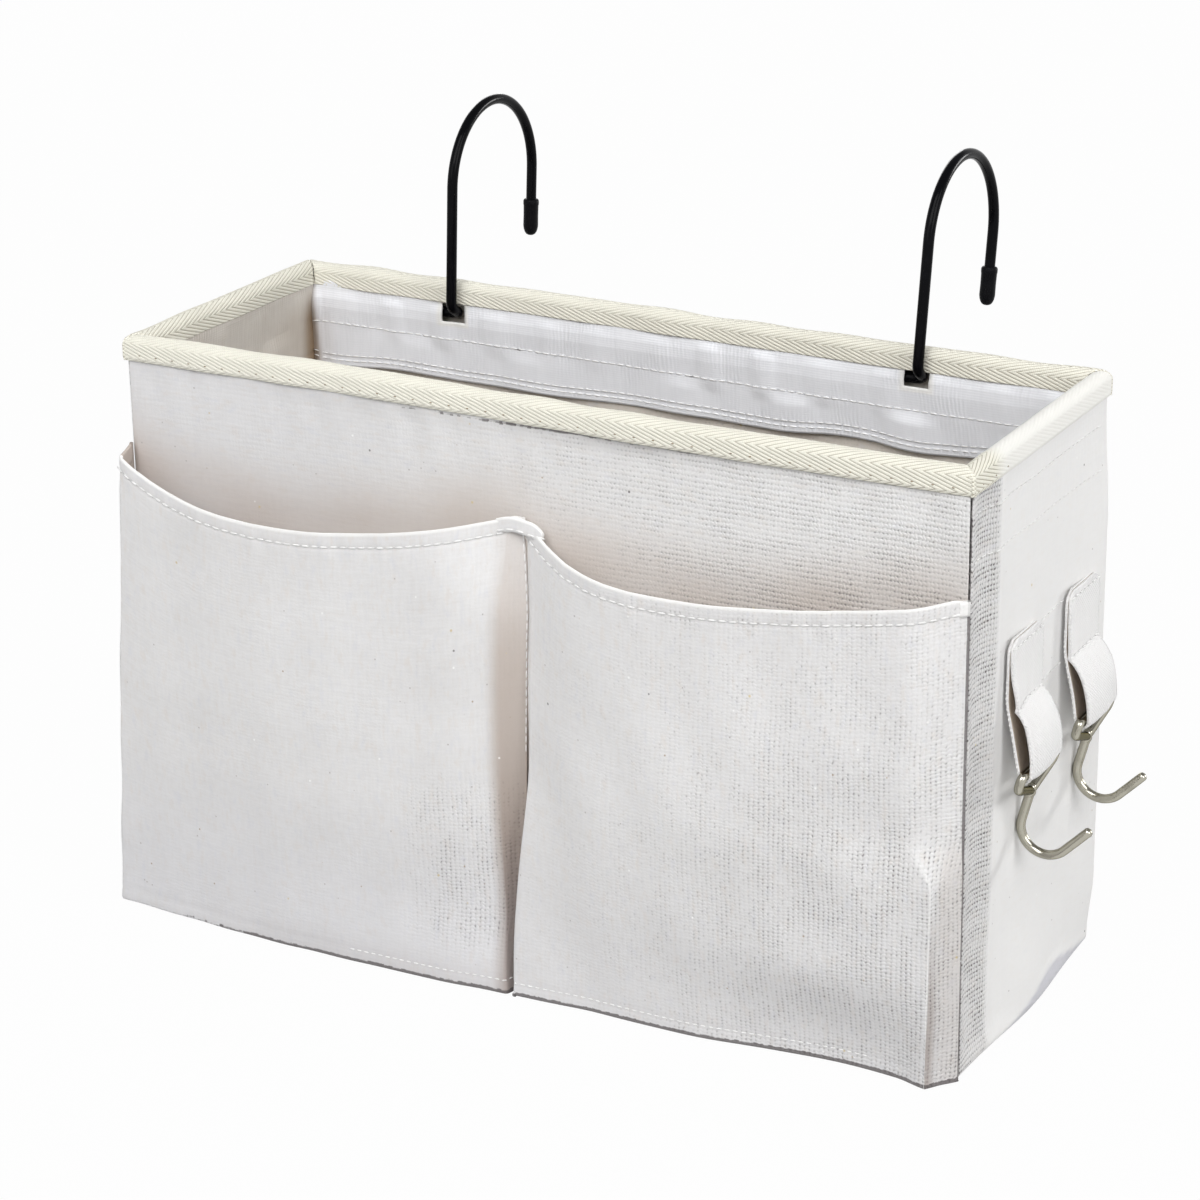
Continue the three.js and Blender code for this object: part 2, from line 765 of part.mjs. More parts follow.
['front', 'rear'].forEach((place, i) => {
  const centre = strapCentres[i];
  addPart(`strap_${place}`, strap(centre), linen);
  const hook = addPart(`side_hook_${place}`, sideHook(), nickel);
  hook.position.set(barX, centre, barHeight);
  hook.rotation.y = sideHookLean;
});

export default caddy;
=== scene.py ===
"""Looks of a bedside caddy: its cloth, tape, net, thread and wire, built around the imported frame.

Shapes are worked out in millimetres and stored in metres. +X is the end with the side hooks,
-Y is the front with the pockets, +Y is the bed rail's side and +Z is up.
"""
import json
import math

import bpy
import numpy as np
from mathutils import Matrix, Vector


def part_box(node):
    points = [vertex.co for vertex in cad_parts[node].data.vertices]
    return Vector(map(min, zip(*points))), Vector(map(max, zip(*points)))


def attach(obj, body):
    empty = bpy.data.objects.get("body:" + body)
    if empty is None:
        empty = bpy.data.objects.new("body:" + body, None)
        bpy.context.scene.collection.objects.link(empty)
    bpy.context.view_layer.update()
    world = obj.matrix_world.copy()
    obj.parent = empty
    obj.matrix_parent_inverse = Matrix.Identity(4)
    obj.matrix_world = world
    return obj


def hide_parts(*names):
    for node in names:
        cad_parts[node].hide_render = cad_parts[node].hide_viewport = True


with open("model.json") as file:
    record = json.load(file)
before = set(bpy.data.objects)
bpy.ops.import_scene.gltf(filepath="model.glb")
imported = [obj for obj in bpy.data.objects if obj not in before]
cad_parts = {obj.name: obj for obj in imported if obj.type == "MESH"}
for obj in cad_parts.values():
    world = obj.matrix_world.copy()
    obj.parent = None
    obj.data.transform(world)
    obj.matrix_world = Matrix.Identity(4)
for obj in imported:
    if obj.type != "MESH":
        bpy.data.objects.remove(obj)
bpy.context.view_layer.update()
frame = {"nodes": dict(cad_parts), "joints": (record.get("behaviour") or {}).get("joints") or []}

MM = 0.001
BOX = "box"

# Sizes taken from the frame


def node_box(node):
    """A CAD node's lowest and highest corners in millimetres."""
    low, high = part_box(node)
    return np.array(low) / MM, np.array(high) / MM


def joint_place(name):
    """Where a joint's axis lies, in millimetres."""
    joint = next(j for j in frame["joints"] if j["name"] == name)
    return np.array(joint["pos_m"]) / MM


panel_low, panel_high = node_box("front_panel")
HALF_LENGTH = panel_high[0]
FRONT = panel_low[1]
HALF_DEPTH = -FRONT
PLY_TOP = panel_high[2]
tape_low, tape_high = node_box("rim_binding_front")
RIM_TOP = tape_high[2]
TAPE_OUT = FRONT - tape_low[1]
TAPE_IN = FRONT - tape_high[1]
TAPE_EDGE_LIFT = 0.9
OUTER_DROP = RIM_TOP - tape_low[2] - TAPE_EDGE_LIFT

# Cloth in millimetres

CLOTH = 0.7
THIN_CLOTH = 0.6
POCKET_CLOTH = 0.55
TAPE = 0.6
STRAP = 0.9
WARP_PITCH = 1.27
WEFT_PITCH = 1.62
CLOTH_STEP = 1.25
SEAM_GAP = 0.45
SEAM_RUN = 2.1
SEAM_LIP = 0.8
FOOT_ROUNDS = {"front": 2.2, "right": 4.0, "back": 2.2, "left": 2.2}

# Shapes of cloth


def smooth(low, high, value):
    """0 at low and 1 at high, with an easy start and end."""
    share = np.clip((np.asarray(value, float) - low) / (high - low), 0, 1)
    return share * share * (3 - 2 * share)


def bump(value, centre, width):
    """A soft ridge of height 1."""
    return np.exp(-(((np.asarray(value, float) - centre) / width) ** 2))


def ripple(u, v, size, seed, lean=math.pi):
    """Uneven waves about size long, mostly between -1.5 and 1.5, that run within half of lean of u."""
    draw = np.random.default_rng(seed)
    total = np.zeros(np.broadcast(u, v).shape)
    waves = 6
    for _ in range(waves):
        way = draw.uniform(-lean, lean) / 2
        length = size * draw.uniform(0.7, 1.6)
        start = draw.uniform(0, 2 * math.pi)
        total = total + np.sin((u * math.cos(way) + v * math.sin(way)) * 2 * math.pi / length + start)
    return total / math.sqrt(waves / 2)


def through(points, value):
    """A smooth curve through a few (place, height) points."""
    places, heights = np.array(points, float).T
    slopes = np.gradient(heights, places)
    value = np.clip(np.asarray(value, float), places[0], places[-1])
    i = np.clip(np.searchsorted(places, value) - 1, 0, len(places) - 2)
    span = places[i + 1] - places[i]
    t = (value - places[i]) / span
    start = (1 + 2 * t) * (1 - t) ** 2 * heights[i] + t * (1 - t) ** 2 * span * slopes[i]
    return start + t * t * (3 - 2 * t) * heights[i + 1] + t * t * (t - 1) * span * slopes[i + 1]


def unit(vector):
    """The way of a vector, or of each one of many."""
    return vector / np.maximum(np.linalg.norm(vector, axis=-1, keepdims=True), 1e-9)


def curve(start, pull, end, t):
    """A place on a curve that leaves start towards pull and comes to end from there."""
    return (1 - t) ** 2 * start + 2 * t * (1 - t) * pull + t * t * end


def nearest(values, wanted):
    """The number of the row or column whose value is nearest to the wanted one."""
    return int(np.argmin(abs(values - wanted)))


def folded(corners, radii, counts, turn=6):
    """Points along a folded line: each run cut into its count of steps, with a curve at each corner."""
    corners = [np.array(corner, float) for corner in corners]
    line = []
    start = corners[0]
    for i, radius in enumerate(radii):
        before, corner, after = corners[i:i + 3]
        back, on = unit(before - corner), unit(after - corner)
        half = math.acos(float(np.clip(back @ on, -1, 1))) / 2
        limit = 0.49 * min(np.linalg.norm(before - corner), np.linalg.norm(after - corner))
        reach = min(radius / math.tan(half), limit)
        enter, leave = corner + back * reach, corner + on * reach
        line += [start + (enter - start) * t for t in np.arange(counts[i]) / counts[i]]
        line += [curve(enter, corner, leave, t) for t in np.arange(turn) / turn]
        start = leave
    line += [start + (corners[-1] - start) * t for t in np.linspace(0, 1, counts[-1] + 1)]
    return np.array(line)


def lengths(line):
    """The distance along a line to each of its points."""
    steps = np.linalg.norm(np.diff(line, axis=0), axis=1)
    return np.concatenate([[0], np.cumsum(steps)])


def facing_ways(points):
    """The way that each point of a grid faces: columns cross rows."""
    along = np.gradient(points, axis=1)
    up = np.gradient(points, axis=0)
    return unit(np.cross(along, up))


def on_side(side, along, out, height):
    """A point beside the box, from its place along a side, its distance out of it and its height."""
    along, out, height = np.broadcast_arrays(along, out, height)
    x, y = {
        "front": (along, -HALF_DEPTH - out),
        "right": (HALF_LENGTH + out, along),
        "back": (-along, HALF_DEPTH + out),
        "left": (-HALF_LENGTH - out, -along),
    }[side]
    return np.stack([x, y, height], axis=-1)


def half_side(side):
    return HALF_LENGTH if side in ("front", "back") else HALF_DEPTH


# Pieces


def placed(name, data):
    """A new object in the scene."""
    item = bpy.data.objects.new(name, data)
    bpy.context.scene.collection.objects.link(item)
    return item


def add_object(name, mesh, body):
    """A new piece that moves with its body."""
    piece = placed(name, mesh)
    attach(piece, body)
    return piece


def plain_mesh(name, points, faces, look):
    """A mesh of points in millimetres, without the points that no face uses."""
    used, flat_faces = np.unique(np.concatenate([np.ravel(f) for f in faces]), return_inverse=True)
    cuts = np.cumsum([len(f) for f in faces])[:-1]
    mesh = bpy.data.meshes.new(name)
    faces = [face.tolist() for face in np.split(flat_faces, cuts)]
    mesh.from_pydata((points.reshape(-1, 3)[used] * MM).tolist(), [], faces)
    mesh.polygons.foreach_set("use_smooth", [True] * len(mesh.polygons))
    mesh.materials.append(look)
    return mesh, used


def grid_faces(rows, columns):
    index = np.arange(rows * columns).reshape(rows, columns)
    corners = [index[:-1, :-1], index[:-1, 1:], index[1:, 1:], index[1:, :-1]]
    return np.stack(corners, axis=-1)


def cloth(name, points, flat, look, thickness, wrong_side=None, cells=None, marks=None):
    """A sheet on a grid of points (rows, columns, 3) that faces columns cross rows.

    flat holds each point's place on the cloth before it was sewn, cells which cells are cloth, and
    marks how open its weave is at each point and how much painted shade, painted light and paler cloth it
    takes there."""
    faces = grid_faces(*points.shape[:2])
    faces = faces[cells] if cells is not None else faces.reshape(-1, 4)
    mesh, used = plain_mesh(name, points, list(faces), look)
    weave = mesh.uv_layers.new(name="weave")
    corners = np.empty(len(mesh.loops), np.int32)
    mesh.loops.foreach_get("vertex_index", corners)
    weave.data.foreach_set("uv", (flat.reshape(-1, 2)[used][corners] * MM).ravel())
    for mark, values in (marks or {}).items():
        layer = mesh.attributes.new(mark, "FLOAT", "POINT")
        values = np.broadcast_to(values, points.shape[:2]).ravel()[used]
        layer.data.foreach_set("value", values.astype(np.float32))
    piece = add_object(name, mesh, BOX)
    solid = piece.modifiers.new("thickness", "SOLIDIFY")
    solid.thickness = thickness * MM
    solid.offset = -1
    if wrong_side is not None:
        mesh.materials.append(wrong_side)
        solid.material_offset = 1
    return piece


def flat_grid(points):
    """Each point's place on the flat cloth, measured along the grid's middle row and column."""
    rows, columns = points.shape[:2]
    across = lengths(points[rows // 2])
    up = lengths(points[:, columns // 2])
    return np.stack(np.meshgrid(across, up), axis=-1)


def sewn(node, flat):
    """Hides the CAD node that a cloth piece stands for, if there is one; the size that it was cut to, in
    millimetres, is not used.
    """
    if node:
        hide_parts(node)
    width, length = (size * MM for size in flat)


# Node trees


class Wire:
    """A socket that can be reckoned with: an expression on values adds its Math nodes."""

    def __init__(self, tree, socket):
        self.tree = tree
        self.socket = socket

    def other(self, name):
        return Wire(self.tree, self.socket.node.outputs[name])

    def math(self, operation, *others):
        return self.tree.math(operation, self, *others)

    def __add__(self, other):
        return self.math("ADD", other)

    def __sub__(self, other):
        return self.math("SUBTRACT", other)

    def __mul__(self, other):
        return self.math("MULTIPLY", other)

    def __truediv__(self, other):
        return self.math("DIVIDE", other)

    def __pow__(self, other):
        return self.math("POWER", other)

    def __rsub__(self, other):
        return self.tree.math("SUBTRACT", other, self)

    def __abs__(self):
        return self.math("ABSOLUTE")

    __radd__ = __add__
    __rmul__ = __mul__


class Nodes:
    """A node tree with one way to add a node."""

    def __init__(self, tree):
        self.tree = tree

    def node(self, kind, settings=None, sockets=None, out=0):
        made = self.tree.nodes.new(kind)
        for key, value in (settings or {}).items():
            setattr(made, key, value)
        for key, value in (sockets or {}).items():
            if isinstance(value, Wire):
                self.tree.links.new(value.socket, made.inputs[key])
            else:
                made.inputs[key].default_value = value
        return Wire(self, made.outputs[out]) if made.outputs else made

    def math(self, operation, *values):
        return self.node("ShaderNodeMath", {"operation": operation}, dict(enumerate(values)))

    def vector(self, x=0.0, y=0.0, z=0.0):
        return self.node("ShaderNodeCombineXYZ", {}, {"X": x, "Y": y, "Z": z})

    def step(self, value, low, high):
        """0 below low and 1 above high."""
        sockets = {"Value": value, "From Min": low, "From Max": high}
        return self.node("ShaderNodeMapRange", {"interpolation_type": "SMOOTHSTEP"}, sockets)


class Look(Nodes):
    """One material and the nodes that make it."""

    def __init__(self, name):
        self.material = bpy.data.materials.new(name)
        self.material.use_nodes = True
        super().__init__(self.material.node_tree)
        self.tree.nodes.clear()

    def split(self, place):
        parts = self.node("ShaderNodeSeparateXYZ", {}, {0: place})
        return [parts.other(axis) * (1 / MM) for axis in "XYZ"]

    def on_cloth(self):
        """The place on the flat cloth, in millimetres."""
        return self.split(self.node("ShaderNodeUVMap", {"uv_map": "weave"}))[:2]

    def in_frame(self):
        """The place on the object, in millimetres."""
        return self.split(self.node("ShaderNodeTexCoord", out=3))

    def mark(self, name):
        """How strongly a piece is marked here, 0 on a piece without that mark."""
        return self.node("ShaderNodeAttribute", {"attribute_name": name}, out=2)

    def wave(self, place, pitch):
        """From 0 to 1 and back in each pitch."""
        return self.math("SINE", place * (2 * math.pi / pitch)) * 0.5 + 0.5

    def chance(self, a, b):
        """A number between 0 and 1 drawn for each pair of whole numbers."""
        pair = self.vector(a, b, 0.5)
        return self.node("ShaderNodeTexWhiteNoise", {"noise_dimensions": "3D"}, {"Vector": pair})

    def noise(self, place, scale, detail=2.0, roughness=0.5):
        sockets = {"Vector": place, "Scale": scale, "Detail": detail, "Roughness": roughness}
        return self.node("ShaderNodeTexNoise", {}, sockets)

    def cells(self, place, scale):
        return self.node("ShaderNodeTexVoronoi", {"feature": "F1"}, {"Vector": place, "Scale": scale})

    def mix(self, share, first, second):
        """A colour between two colours."""
        first, second = (c if isinstance(c, Wire) else (*c, 1.0) for c in (first, second))
        return self.node("ShaderNodeMix", {"data_type": "RGBA"}, {0: share, 6: first, 7: second}, out=2)

    def relief(self, height, depth):
        """A normal from heights between 0 and 1 that stand for a depth in millimetres."""
        sockets = {"Height": height, "Distance": depth * MM, "Strength": 1.0}
        return self.node("ShaderNodeBump", {}, sockets)

    def surface(self, sockets):
        shader = self.node("ShaderNodeBsdfPrincipled", {}, sockets)
        self.node("ShaderNodeOutputMaterial", {}, {"Surface": shader})
        return self.material


# Materials


def specks(look, u, v, base, cell, size, share, colour):
    """Flecks of another colour: one in some of the cells, about size millimetres across."""
    spot = look.cells(look.vector(u, v), 1 / cell)
    red = look.node("ShaderNodeSeparateColor", {}, {0: spot.other("Color")})
    chosen = look.step(red, share, share - 0.02)
    near = look.step(spot, 0.5 * size / cell, 0.2 * size / cell)
    return look.mix(chosen * near * 0.8, base, colour)


# Painted shade: a warmer, darker tint for cloth in the pockets' mouths, the groove, the pleat and the
# walls' inner side.
WARM_SHADE = (0.640, 0.560, 0.500)
# The weave's holes, and painted shade in seams' gaps with painted shadow under edges and along the
# pockets' feet.
HOLE_AND_SHADOW = (0.120, 0.105, 0.105)
# Paler cloth along hem edges and slits, and painted light: the right end and its tape, the front wall's
# right, and a painted highlight on the pleat's fold.
PALE_AND_LIT = (0.900, 0.895, 0.880)
# Painted shade, brownish, in the box's inner corners.
INNER_SHADE = (0.300, 0.215, 0.140)
SHADE = (0.330, 0.262, 0.220)
# Painted shade, bluish-grey: towards the pockets' feet, on the right end's turned-under foot and on the
# front wall's left.
COOL_SHADE = (0.500, 0.500, 0.560)
FLAX = (0.725, 0.665, 0.610)
BLUED = (0.665, 0.675, 0.730)
BROWN_FIBRE = (0.40, 0.30, 0.20)
BLACK_FIBRE = (0.07, 0.06, 0.06)
STRAW_FIBRE = (0.66, 0.54, 0.28)
GREY_FIBRE = (0.46, 0.43, 0.42)
WHITE_FIBRE = (0.95, 0.95, 0.94)


def linen_flecks(look, u, v, colour):
    """Bits of other fibre caught in the cloth."""
    colour = specks(look, u, v, colour, 6.0, 0.9, 0.14, BROWN_FIBRE)
    colour = specks(look, v, u, colour, 10.0, 1.1, 0.16, BLACK_FIBRE)
    colour = specks(look, u + 31.0, v, colour, 9.0, 1.2, 0.14, STRAW_FIBRE)
    colour = specks(look, u, v + 57.0, colour, 4.5, 0.8, 0.30, GREY_FIBRE)
    return specks(look, v + 83.0, u, colour, 7.0, 1.1, 0.22, WHITE_FIBRE)


def linen(name, light, shade, shade_mark):
    """Plain-woven cloth with uneven threads, small holes in rows between them and a few flecks."""
    look = Look(name)
    u, v = look.on_cloth()
    patch = look.noise(look.vector(u * 0.5, v), 0.14, 2.0)
    coarse = look.mark("coarse") * (look.step(patch, 0.35, 0.65) * 0.7 + 0.65)
    wander = look.noise(look.vector(u, v), 0.05, 3.0)
    shake = look.noise(look.vector(u * 0.4, v), 0.7, 2.0)
    a = u / WARP_PITCH + wander * 1.6 + shake * 1.4
    b = v / WEFT_PITCH + wander * 1.0 + shake * 0.15
    warp = look.math("SINE", a * math.pi)
    weft = look.math("SINE", b * math.pi)
    over = warp * weft * 0.5
    ridge = look.math("MAXIMUM", abs(warp) * 0.5 + over, abs(weft) * 0.5 - over)
    luck = look.chance(look.math("ROUND", a), look.math("ROUND", b))
    hole = (1 - abs(weft)) ** 1.4 * ((1 - abs(warp)) * 0.9 + 0.1) * (luck * 0.8 + 0.2)
    tone = look.chance(look.math("FLOOR", a), 3.0) + look.chance(7.0, look.math("FLOOR", b)) * 0.5
    slub_u = look.noise(look.vector(u * 0.16, v * 0.65), 1.0, 2.0, 0.6)
    slub_v = look.noise(look.vector(u * 0.65, v * 0.16, 7.0), 1.0, 2.0, 0.6)
    blotch = look.noise(look.vector(*look.in_frame()), 0.018, 3.0)
    slubs = slub_u + slub_v
    dark = look.step(slubs, 0.75, 1.35) * 0.35 + look.step(blotch, 0.35, 0.75) * 0.25 + tone * 0.06
    colour = look.mix(dark, light, shade)
    mottle = look.noise(look.vector(u * 0.5, v, 3.0), 0.4, 3.0, 0.6)
    colour = look.mix(look.step(mottle, 0.52, 0.72) * 0.3, colour, FLAX)
    colour = look.mix(look.step(mottle, 0.46, 0.26) * 0.3, colour, BLUED)
    # Painted light and shade from the piece's marks: warmer, brownish and bluish-grey shade in recesses,
    # corners and towards feet, darker lines in seams' gaps and under edges, and paler cloth that is partly
    # painted light.
    colour = look.mix(look.mark(shade_mark) * 0.8, colour, WARM_SHADE)
    colour = look.mix(look.mark("shade"), colour, SHADE)
    colour = look.mix(look.mark("cool"), colour, COOL_SHADE)
    open_here = look.step(luck * 0.3 + coarse * 0.9 + blotch * 0.4, 0.45, 1.15)
    gaps = hole * open_here * (coarse * coarse * 0.5 + 0.6)
    colour = look.mix(gaps, colour, HOLE_AND_SHADOW)
    ragged = look.step(look.mark("dark") + slub_u * 0.5 + luck * 0.3, 0.80, 1.05)
    colour = look.mix(ragged * 0.85, colour, HOLE_AND_SHADOW)
    colour = look.mix(look.mark("pale") * 0.8, colour, PALE_AND_LIT)
    colour = linen_flecks(look, u, v, colour)
    height = ridge * (coarse * 0.75 + 0.06) + slubs * 0.26 - hole * coarse * 0.4
    return look.surface({
        "Base Color": colour,
        "Roughness": 0.92 - ridge * 0.08,
        "Specular IOR Level": 0.25,
        "Sheen Weight": 0.12,
        "Sheen Roughness": 0.6,
        "Normal": look.relief(height, 0.22),
    })


# The tape's ribs slant away from lines of chevron points, at this pitch along it and this lean
RIB_PITCH = 3.4
RIB_LEAN = 2.8
CHEVRON_GAP = 10.0
CHEVRON_PLACE = -4.5


def herringbone(name, light, groove):
    """Twill tape: slanting ribs that meet in chevrons along it, with darker lines between them, painted
    shade in the grooves, and paler where painted light is marked.
    """
    look = Look(name)
    u, v = look.on_cloth()
    coarse = look.mark("coarse")
    pale = look.mark("pale")
    wander = look.noise(look.vector(u, v), 0.25, 2.0)
    shifted = v + (CHEVRON_GAP / 2 - CHEVRON_PLACE)
    zigzag = abs(look.math("FLOORED_MODULO", shifted, CHEVRON_GAP) - CHEVRON_GAP / 2)
    slant = u + zigzag * RIB_LEAN + wander * 0.6
    rib = abs(look.math("COSINE", slant * (math.pi / RIB_PITCH)))
    line = look.step(rib, 0.55, 0.10)
    yarn = look.wave(u * 2.0 - zigzag, 1.5)
    fibre = look.noise(look.vector(u, v), 1.6, 3.0, 0.6)
    colour = look.mix(fibre * 0.45 + (1 - yarn) * 0.2, light, tuple(c * 0.84 for c in light))
    # Painted shade in the grooves between the ribs, as strong as the tape's mark asks.
    colour = look.mix(line * (coarse * 0.55 + 0.12), colour, groove)
    colour = look.mix(pale * 0.85, colour, PALE_AND_LIT)
    colour = specks(look, u, v, colour, 8.0, 0.8, 0.12, (0.28, 0.21, 0.14))
    height = (rib * 0.6 + yarn * 0.2) * (1 - pale * 0.8) + fibre * 0.25
    return look.surface({
        "Base Color": colour,
        "Roughness": 0.9 - yarn * 0.1,
        "Specular IOR Level": 0.25,
        "Sheen Weight": 0.1,
        "Normal": look.relief(height, 0.22),
    })


def coated(name, light, shade):
    """Lining with a thin coat: upright threads under a dull shine, and some thick ones."""
    look = Look(name)
    u, v = look.on_cloth()
    wander = look.noise(look.vector(u, v), 0.06, 2.0)
    warp = look.wave(u + wander * 3.0, 1.4)
    weft = look.wave(v, 0.8)
    streak = look.noise(look.vector(u * 0.8, v * 0.06), 1.0, 3.0, 0.6)
    cloud = look.noise(look.vector(u, v), 0.05, 3.0)
    tone = look.step(streak, 0.35, 0.75) * 0.4 + look.step(cloud, 0.3, 0.7) * 0.45
    colour = look.mix(tone, light, shade)
    # Painted shade, brownish, in the inner corners where marked, then paler where marked.
    colour = look.mix(look.mark("stain"), colour, INNER_SHADE)
    colour = look.mix(look.mark("pale"), colour, PALE_AND_LIT)
    colour = specks(look, u, v, colour, 9.0, 0.9, 0.12, (0.40, 0.36, 0.32))
    height = warp * look.step(cloud, 0.4, 0.65) * 0.5 + weft * 0.15 + streak * 0.6
    return look.surface({
        "Base Color": colour,
        "Roughness": 0.50 + streak * 0.2,
        "Specular IOR Level": 0.35,
        "Normal": look.relief(height, 0.16),
    })


def webbing(name, light, shade):
    """Strap cloth: a close weave with a slanting grain."""
    look = Look(name)
    u, v = look.on_cloth()
    warp = look.wave(u, 1.1)
    grain = look.wave(u + v, 1.3)
    streak = look.noise(look.vector(u * 0.9, v * 0.08), 1.0, 3.0)
    colour = look.mix(streak * 0.5 + (1 - grain) * 0.2, light, shade)
    colour = specks(look, u, v, colour, 7.0, 0.6, 0.12, (0.40, 0.34, 0.28))
    return look.surface({
        "Base Color": colour,
        "Roughness": 0.88 - grain * 0.08,
        "Specular IOR Level": 0.25,
        "Sheen Weight": 0.1,
        "Normal": look.relief(warp * 0.3 + grain * 0.5 + streak * 0.3, 0.2),
    })


def thread(name, light, shade):
    """Twisted sewing thread."""
    look = Look(name)
    x, y, z = look.in_frame()
    twist = look.wave(x + y + z, 0.45)
    fibre = look.noise(look.vector(x, y, z), 3.0, 2.0)
    return look.surface({
        "Base Color": look.mix(twist * 0.5 + fibre * 0.3, light, shade),
        "Roughness": 0.7 + fibre * 0.2,
        "Normal": look.relief(twist, 0.08),
    })


def wire_coat(name, colour, shine, roughness, dent):
    """A dipped or moulded black skin with a faint orange peel and rubbed spots."""
    look = Look(name)
    place = look.vector(*look.in_frame())
    peel = look.noise(place, 0.6, 3.0)
    rub = look.step(look.noise(place, 0.09, 4.0, 0.6), 0.5, 0.75)
    return look.surface({
        "Base Color": look.mix(rub * 0.5, colour, tuple(c * 2.2 for c in colour)),
        "Roughness": roughness + rub * 0.12 + peel * 0.05,
        "Specular IOR Level": shine,
        "Normal": look.relief(peel, dent),
    })


def bright_metal(name, colour, shade, roughness):
    """Plated or drawn wire: fine marks and a few dull patches, with a tint that darkens its edges."""
    look = Look(name)
    x, y, z = look.in_frame()
    marks = look.noise(look.vector(x * 2.0, y * 2.0, z * 0.3), 1.0, 4.0, 0.6)
    dull = look.step(look.noise(look.vector(x, y, z), 0.2, 3.0), 0.45, 0.75)
    return look.surface({
        "Base Color": look.mix(dull * 0.6, colour, shade),
        "Metallic": 1.0,
        "Roughness": roughness + marks * 0.06 + dull * 0.06,
        "Specular Tint": (0.25, 0.24, 0.20, 1.0),
        "Normal": look.relief(marks, 0.01),
    })


def grey_board(name, light, shade):
    """Pressed board with short fibres."""
    look = Look(name)
    x, y, z = look.in_frame()
    pulp = look.noise(look.vector(x, y, z), 0.9, 4.0, 0.7)
    fibre = look.noise(look.vector(x * 0.25, y * 1.6, z), 1.0, 3.0, 0.6)
    colour = look.mix(look.step(pulp + fibre, 0.75, 1.25), light, shade)
    return look.surface({
        "Base Color": colour,
        "Roughness": 0.85 + pulp * 0.1,
        "Normal": look.relief(pulp * 0.6 + fibre * 0.4, 0.12),
    })


LINEN = linen("linen", (0.790, 0.783, 0.782), (0.700, 0.687, 0.680), "warm")
# The walls' inner side: the same linen made darker and warmer, painted shade.
LINEN_INSIDE_SHADED = linen("linen_inside", (0.700, 0.655, 0.600), (0.600, 0.545, 0.480), "stain")
TAPE_LOOK = herringbone("herringbone_tape", (0.910, 0.890, 0.785), (0.330, 0.285, 0.205))
LINING = coated("coated_lining", (0.905, 0.918, 0.958), (0.820, 0.832, 0.872))
# The end facings: the lining made beige like the linen and darker and warmer, partly painted shade.
SHADED_END_LINING = coated("end_lining", (0.740, 0.705, 0.655), (0.650, 0.605, 0.545))
WEBBING = webbing("strap_webbing", (0.900, 0.893, 0.890), (0.825, 0.814, 0.808))
# The straps' inner side: the same webbing made brownish and darker, painted shade inside the loops.
WEBBING_INSIDE_SHADED = webbing("strap_inside", (0.520, 0.440, 0.360), (0.380, 0.310, 0.245))
WHITE_THREAD = thread("white_thread", (0.970, 0.967, 0.960), (0.890, 0.885, 0.875))
BROWN_THREAD = thread("brown_thread", (0.360, 0.290, 0.200), (0.240, 0.180, 0.120))
NET_THREAD = thread("net_thread", (0.860, 0.850, 0.820), (0.720, 0.705, 0.670))
BLACK_COAT = wire_coat("black_coat", (0.003, 0.003, 0.004), 0.06, 0.12, 0.02)
RUBBER = wire_coat("cap_rubber", (0.004, 0.004, 0.005), 0.06, 0.40, 0.06)
NICKEL = bright_metal("nickel", (0.450, 0.432, 0.365), (0.320, 0.304, 0.250), 0.07)
STEEL = bright_metal("rim_steel", (0.450, 0.460, 0.470), (0.360, 0.370, 0.380), 0.35)
BOARD = grey_board("stiffening_board", (0.360, 0.310, 0.250), (0.260, 0.215, 0.165))

# Stitches are collected as lines and sewn at the end: each kind's pitch, length, diameter and thread

STITCHES = {
    "seam_stitches": (3.4, 3.1, 0.64, WHITE_THREAD),
    "fine_stitches": (3.2, 3.1, 0.46, WHITE_THREAD),
    "foot_stitches": (2.7, 1.9, 0.45, WHITE_THREAD),
    "tape_stitches": (6.5, 1.0, 0.42, BROWN_THREAD),
    "edge_stitches": (1.7, 0.9, 0.55, WHITE_THREAD),
}
seams = {kind: [] for kind in STITCHES}


def stitch_line(kind, points, ways, lift=0.12):
    """Keeps a line on the cloth, lifted off it along the way that it faces."""
    seams[kind].append((points + lift * ways, ways))


# Hems of the front pockets, which meet at the middle seam

SEAM_X = -1.5


def hollow_hem(start, pull, end):
    """The height of a hem that is one hollow curve, at any place along the box."""
    t = np.linspace(0, 1, 60)
    places, heights = (curve(*values, t) for values in zip(start, pull, end))
    return lambda x: np.interp(x, places, heights)


left_hem = hollow_hem((-150, 165), (-110, 133), (-2, 162))
right_hem = hollow_hem((-1.3, 162), (30, 134.2), (150, 159.5))

# Walls of the box

WALL_TUCK = 6
WALL_FOOT = 0.1
END_STRIP = 20.5


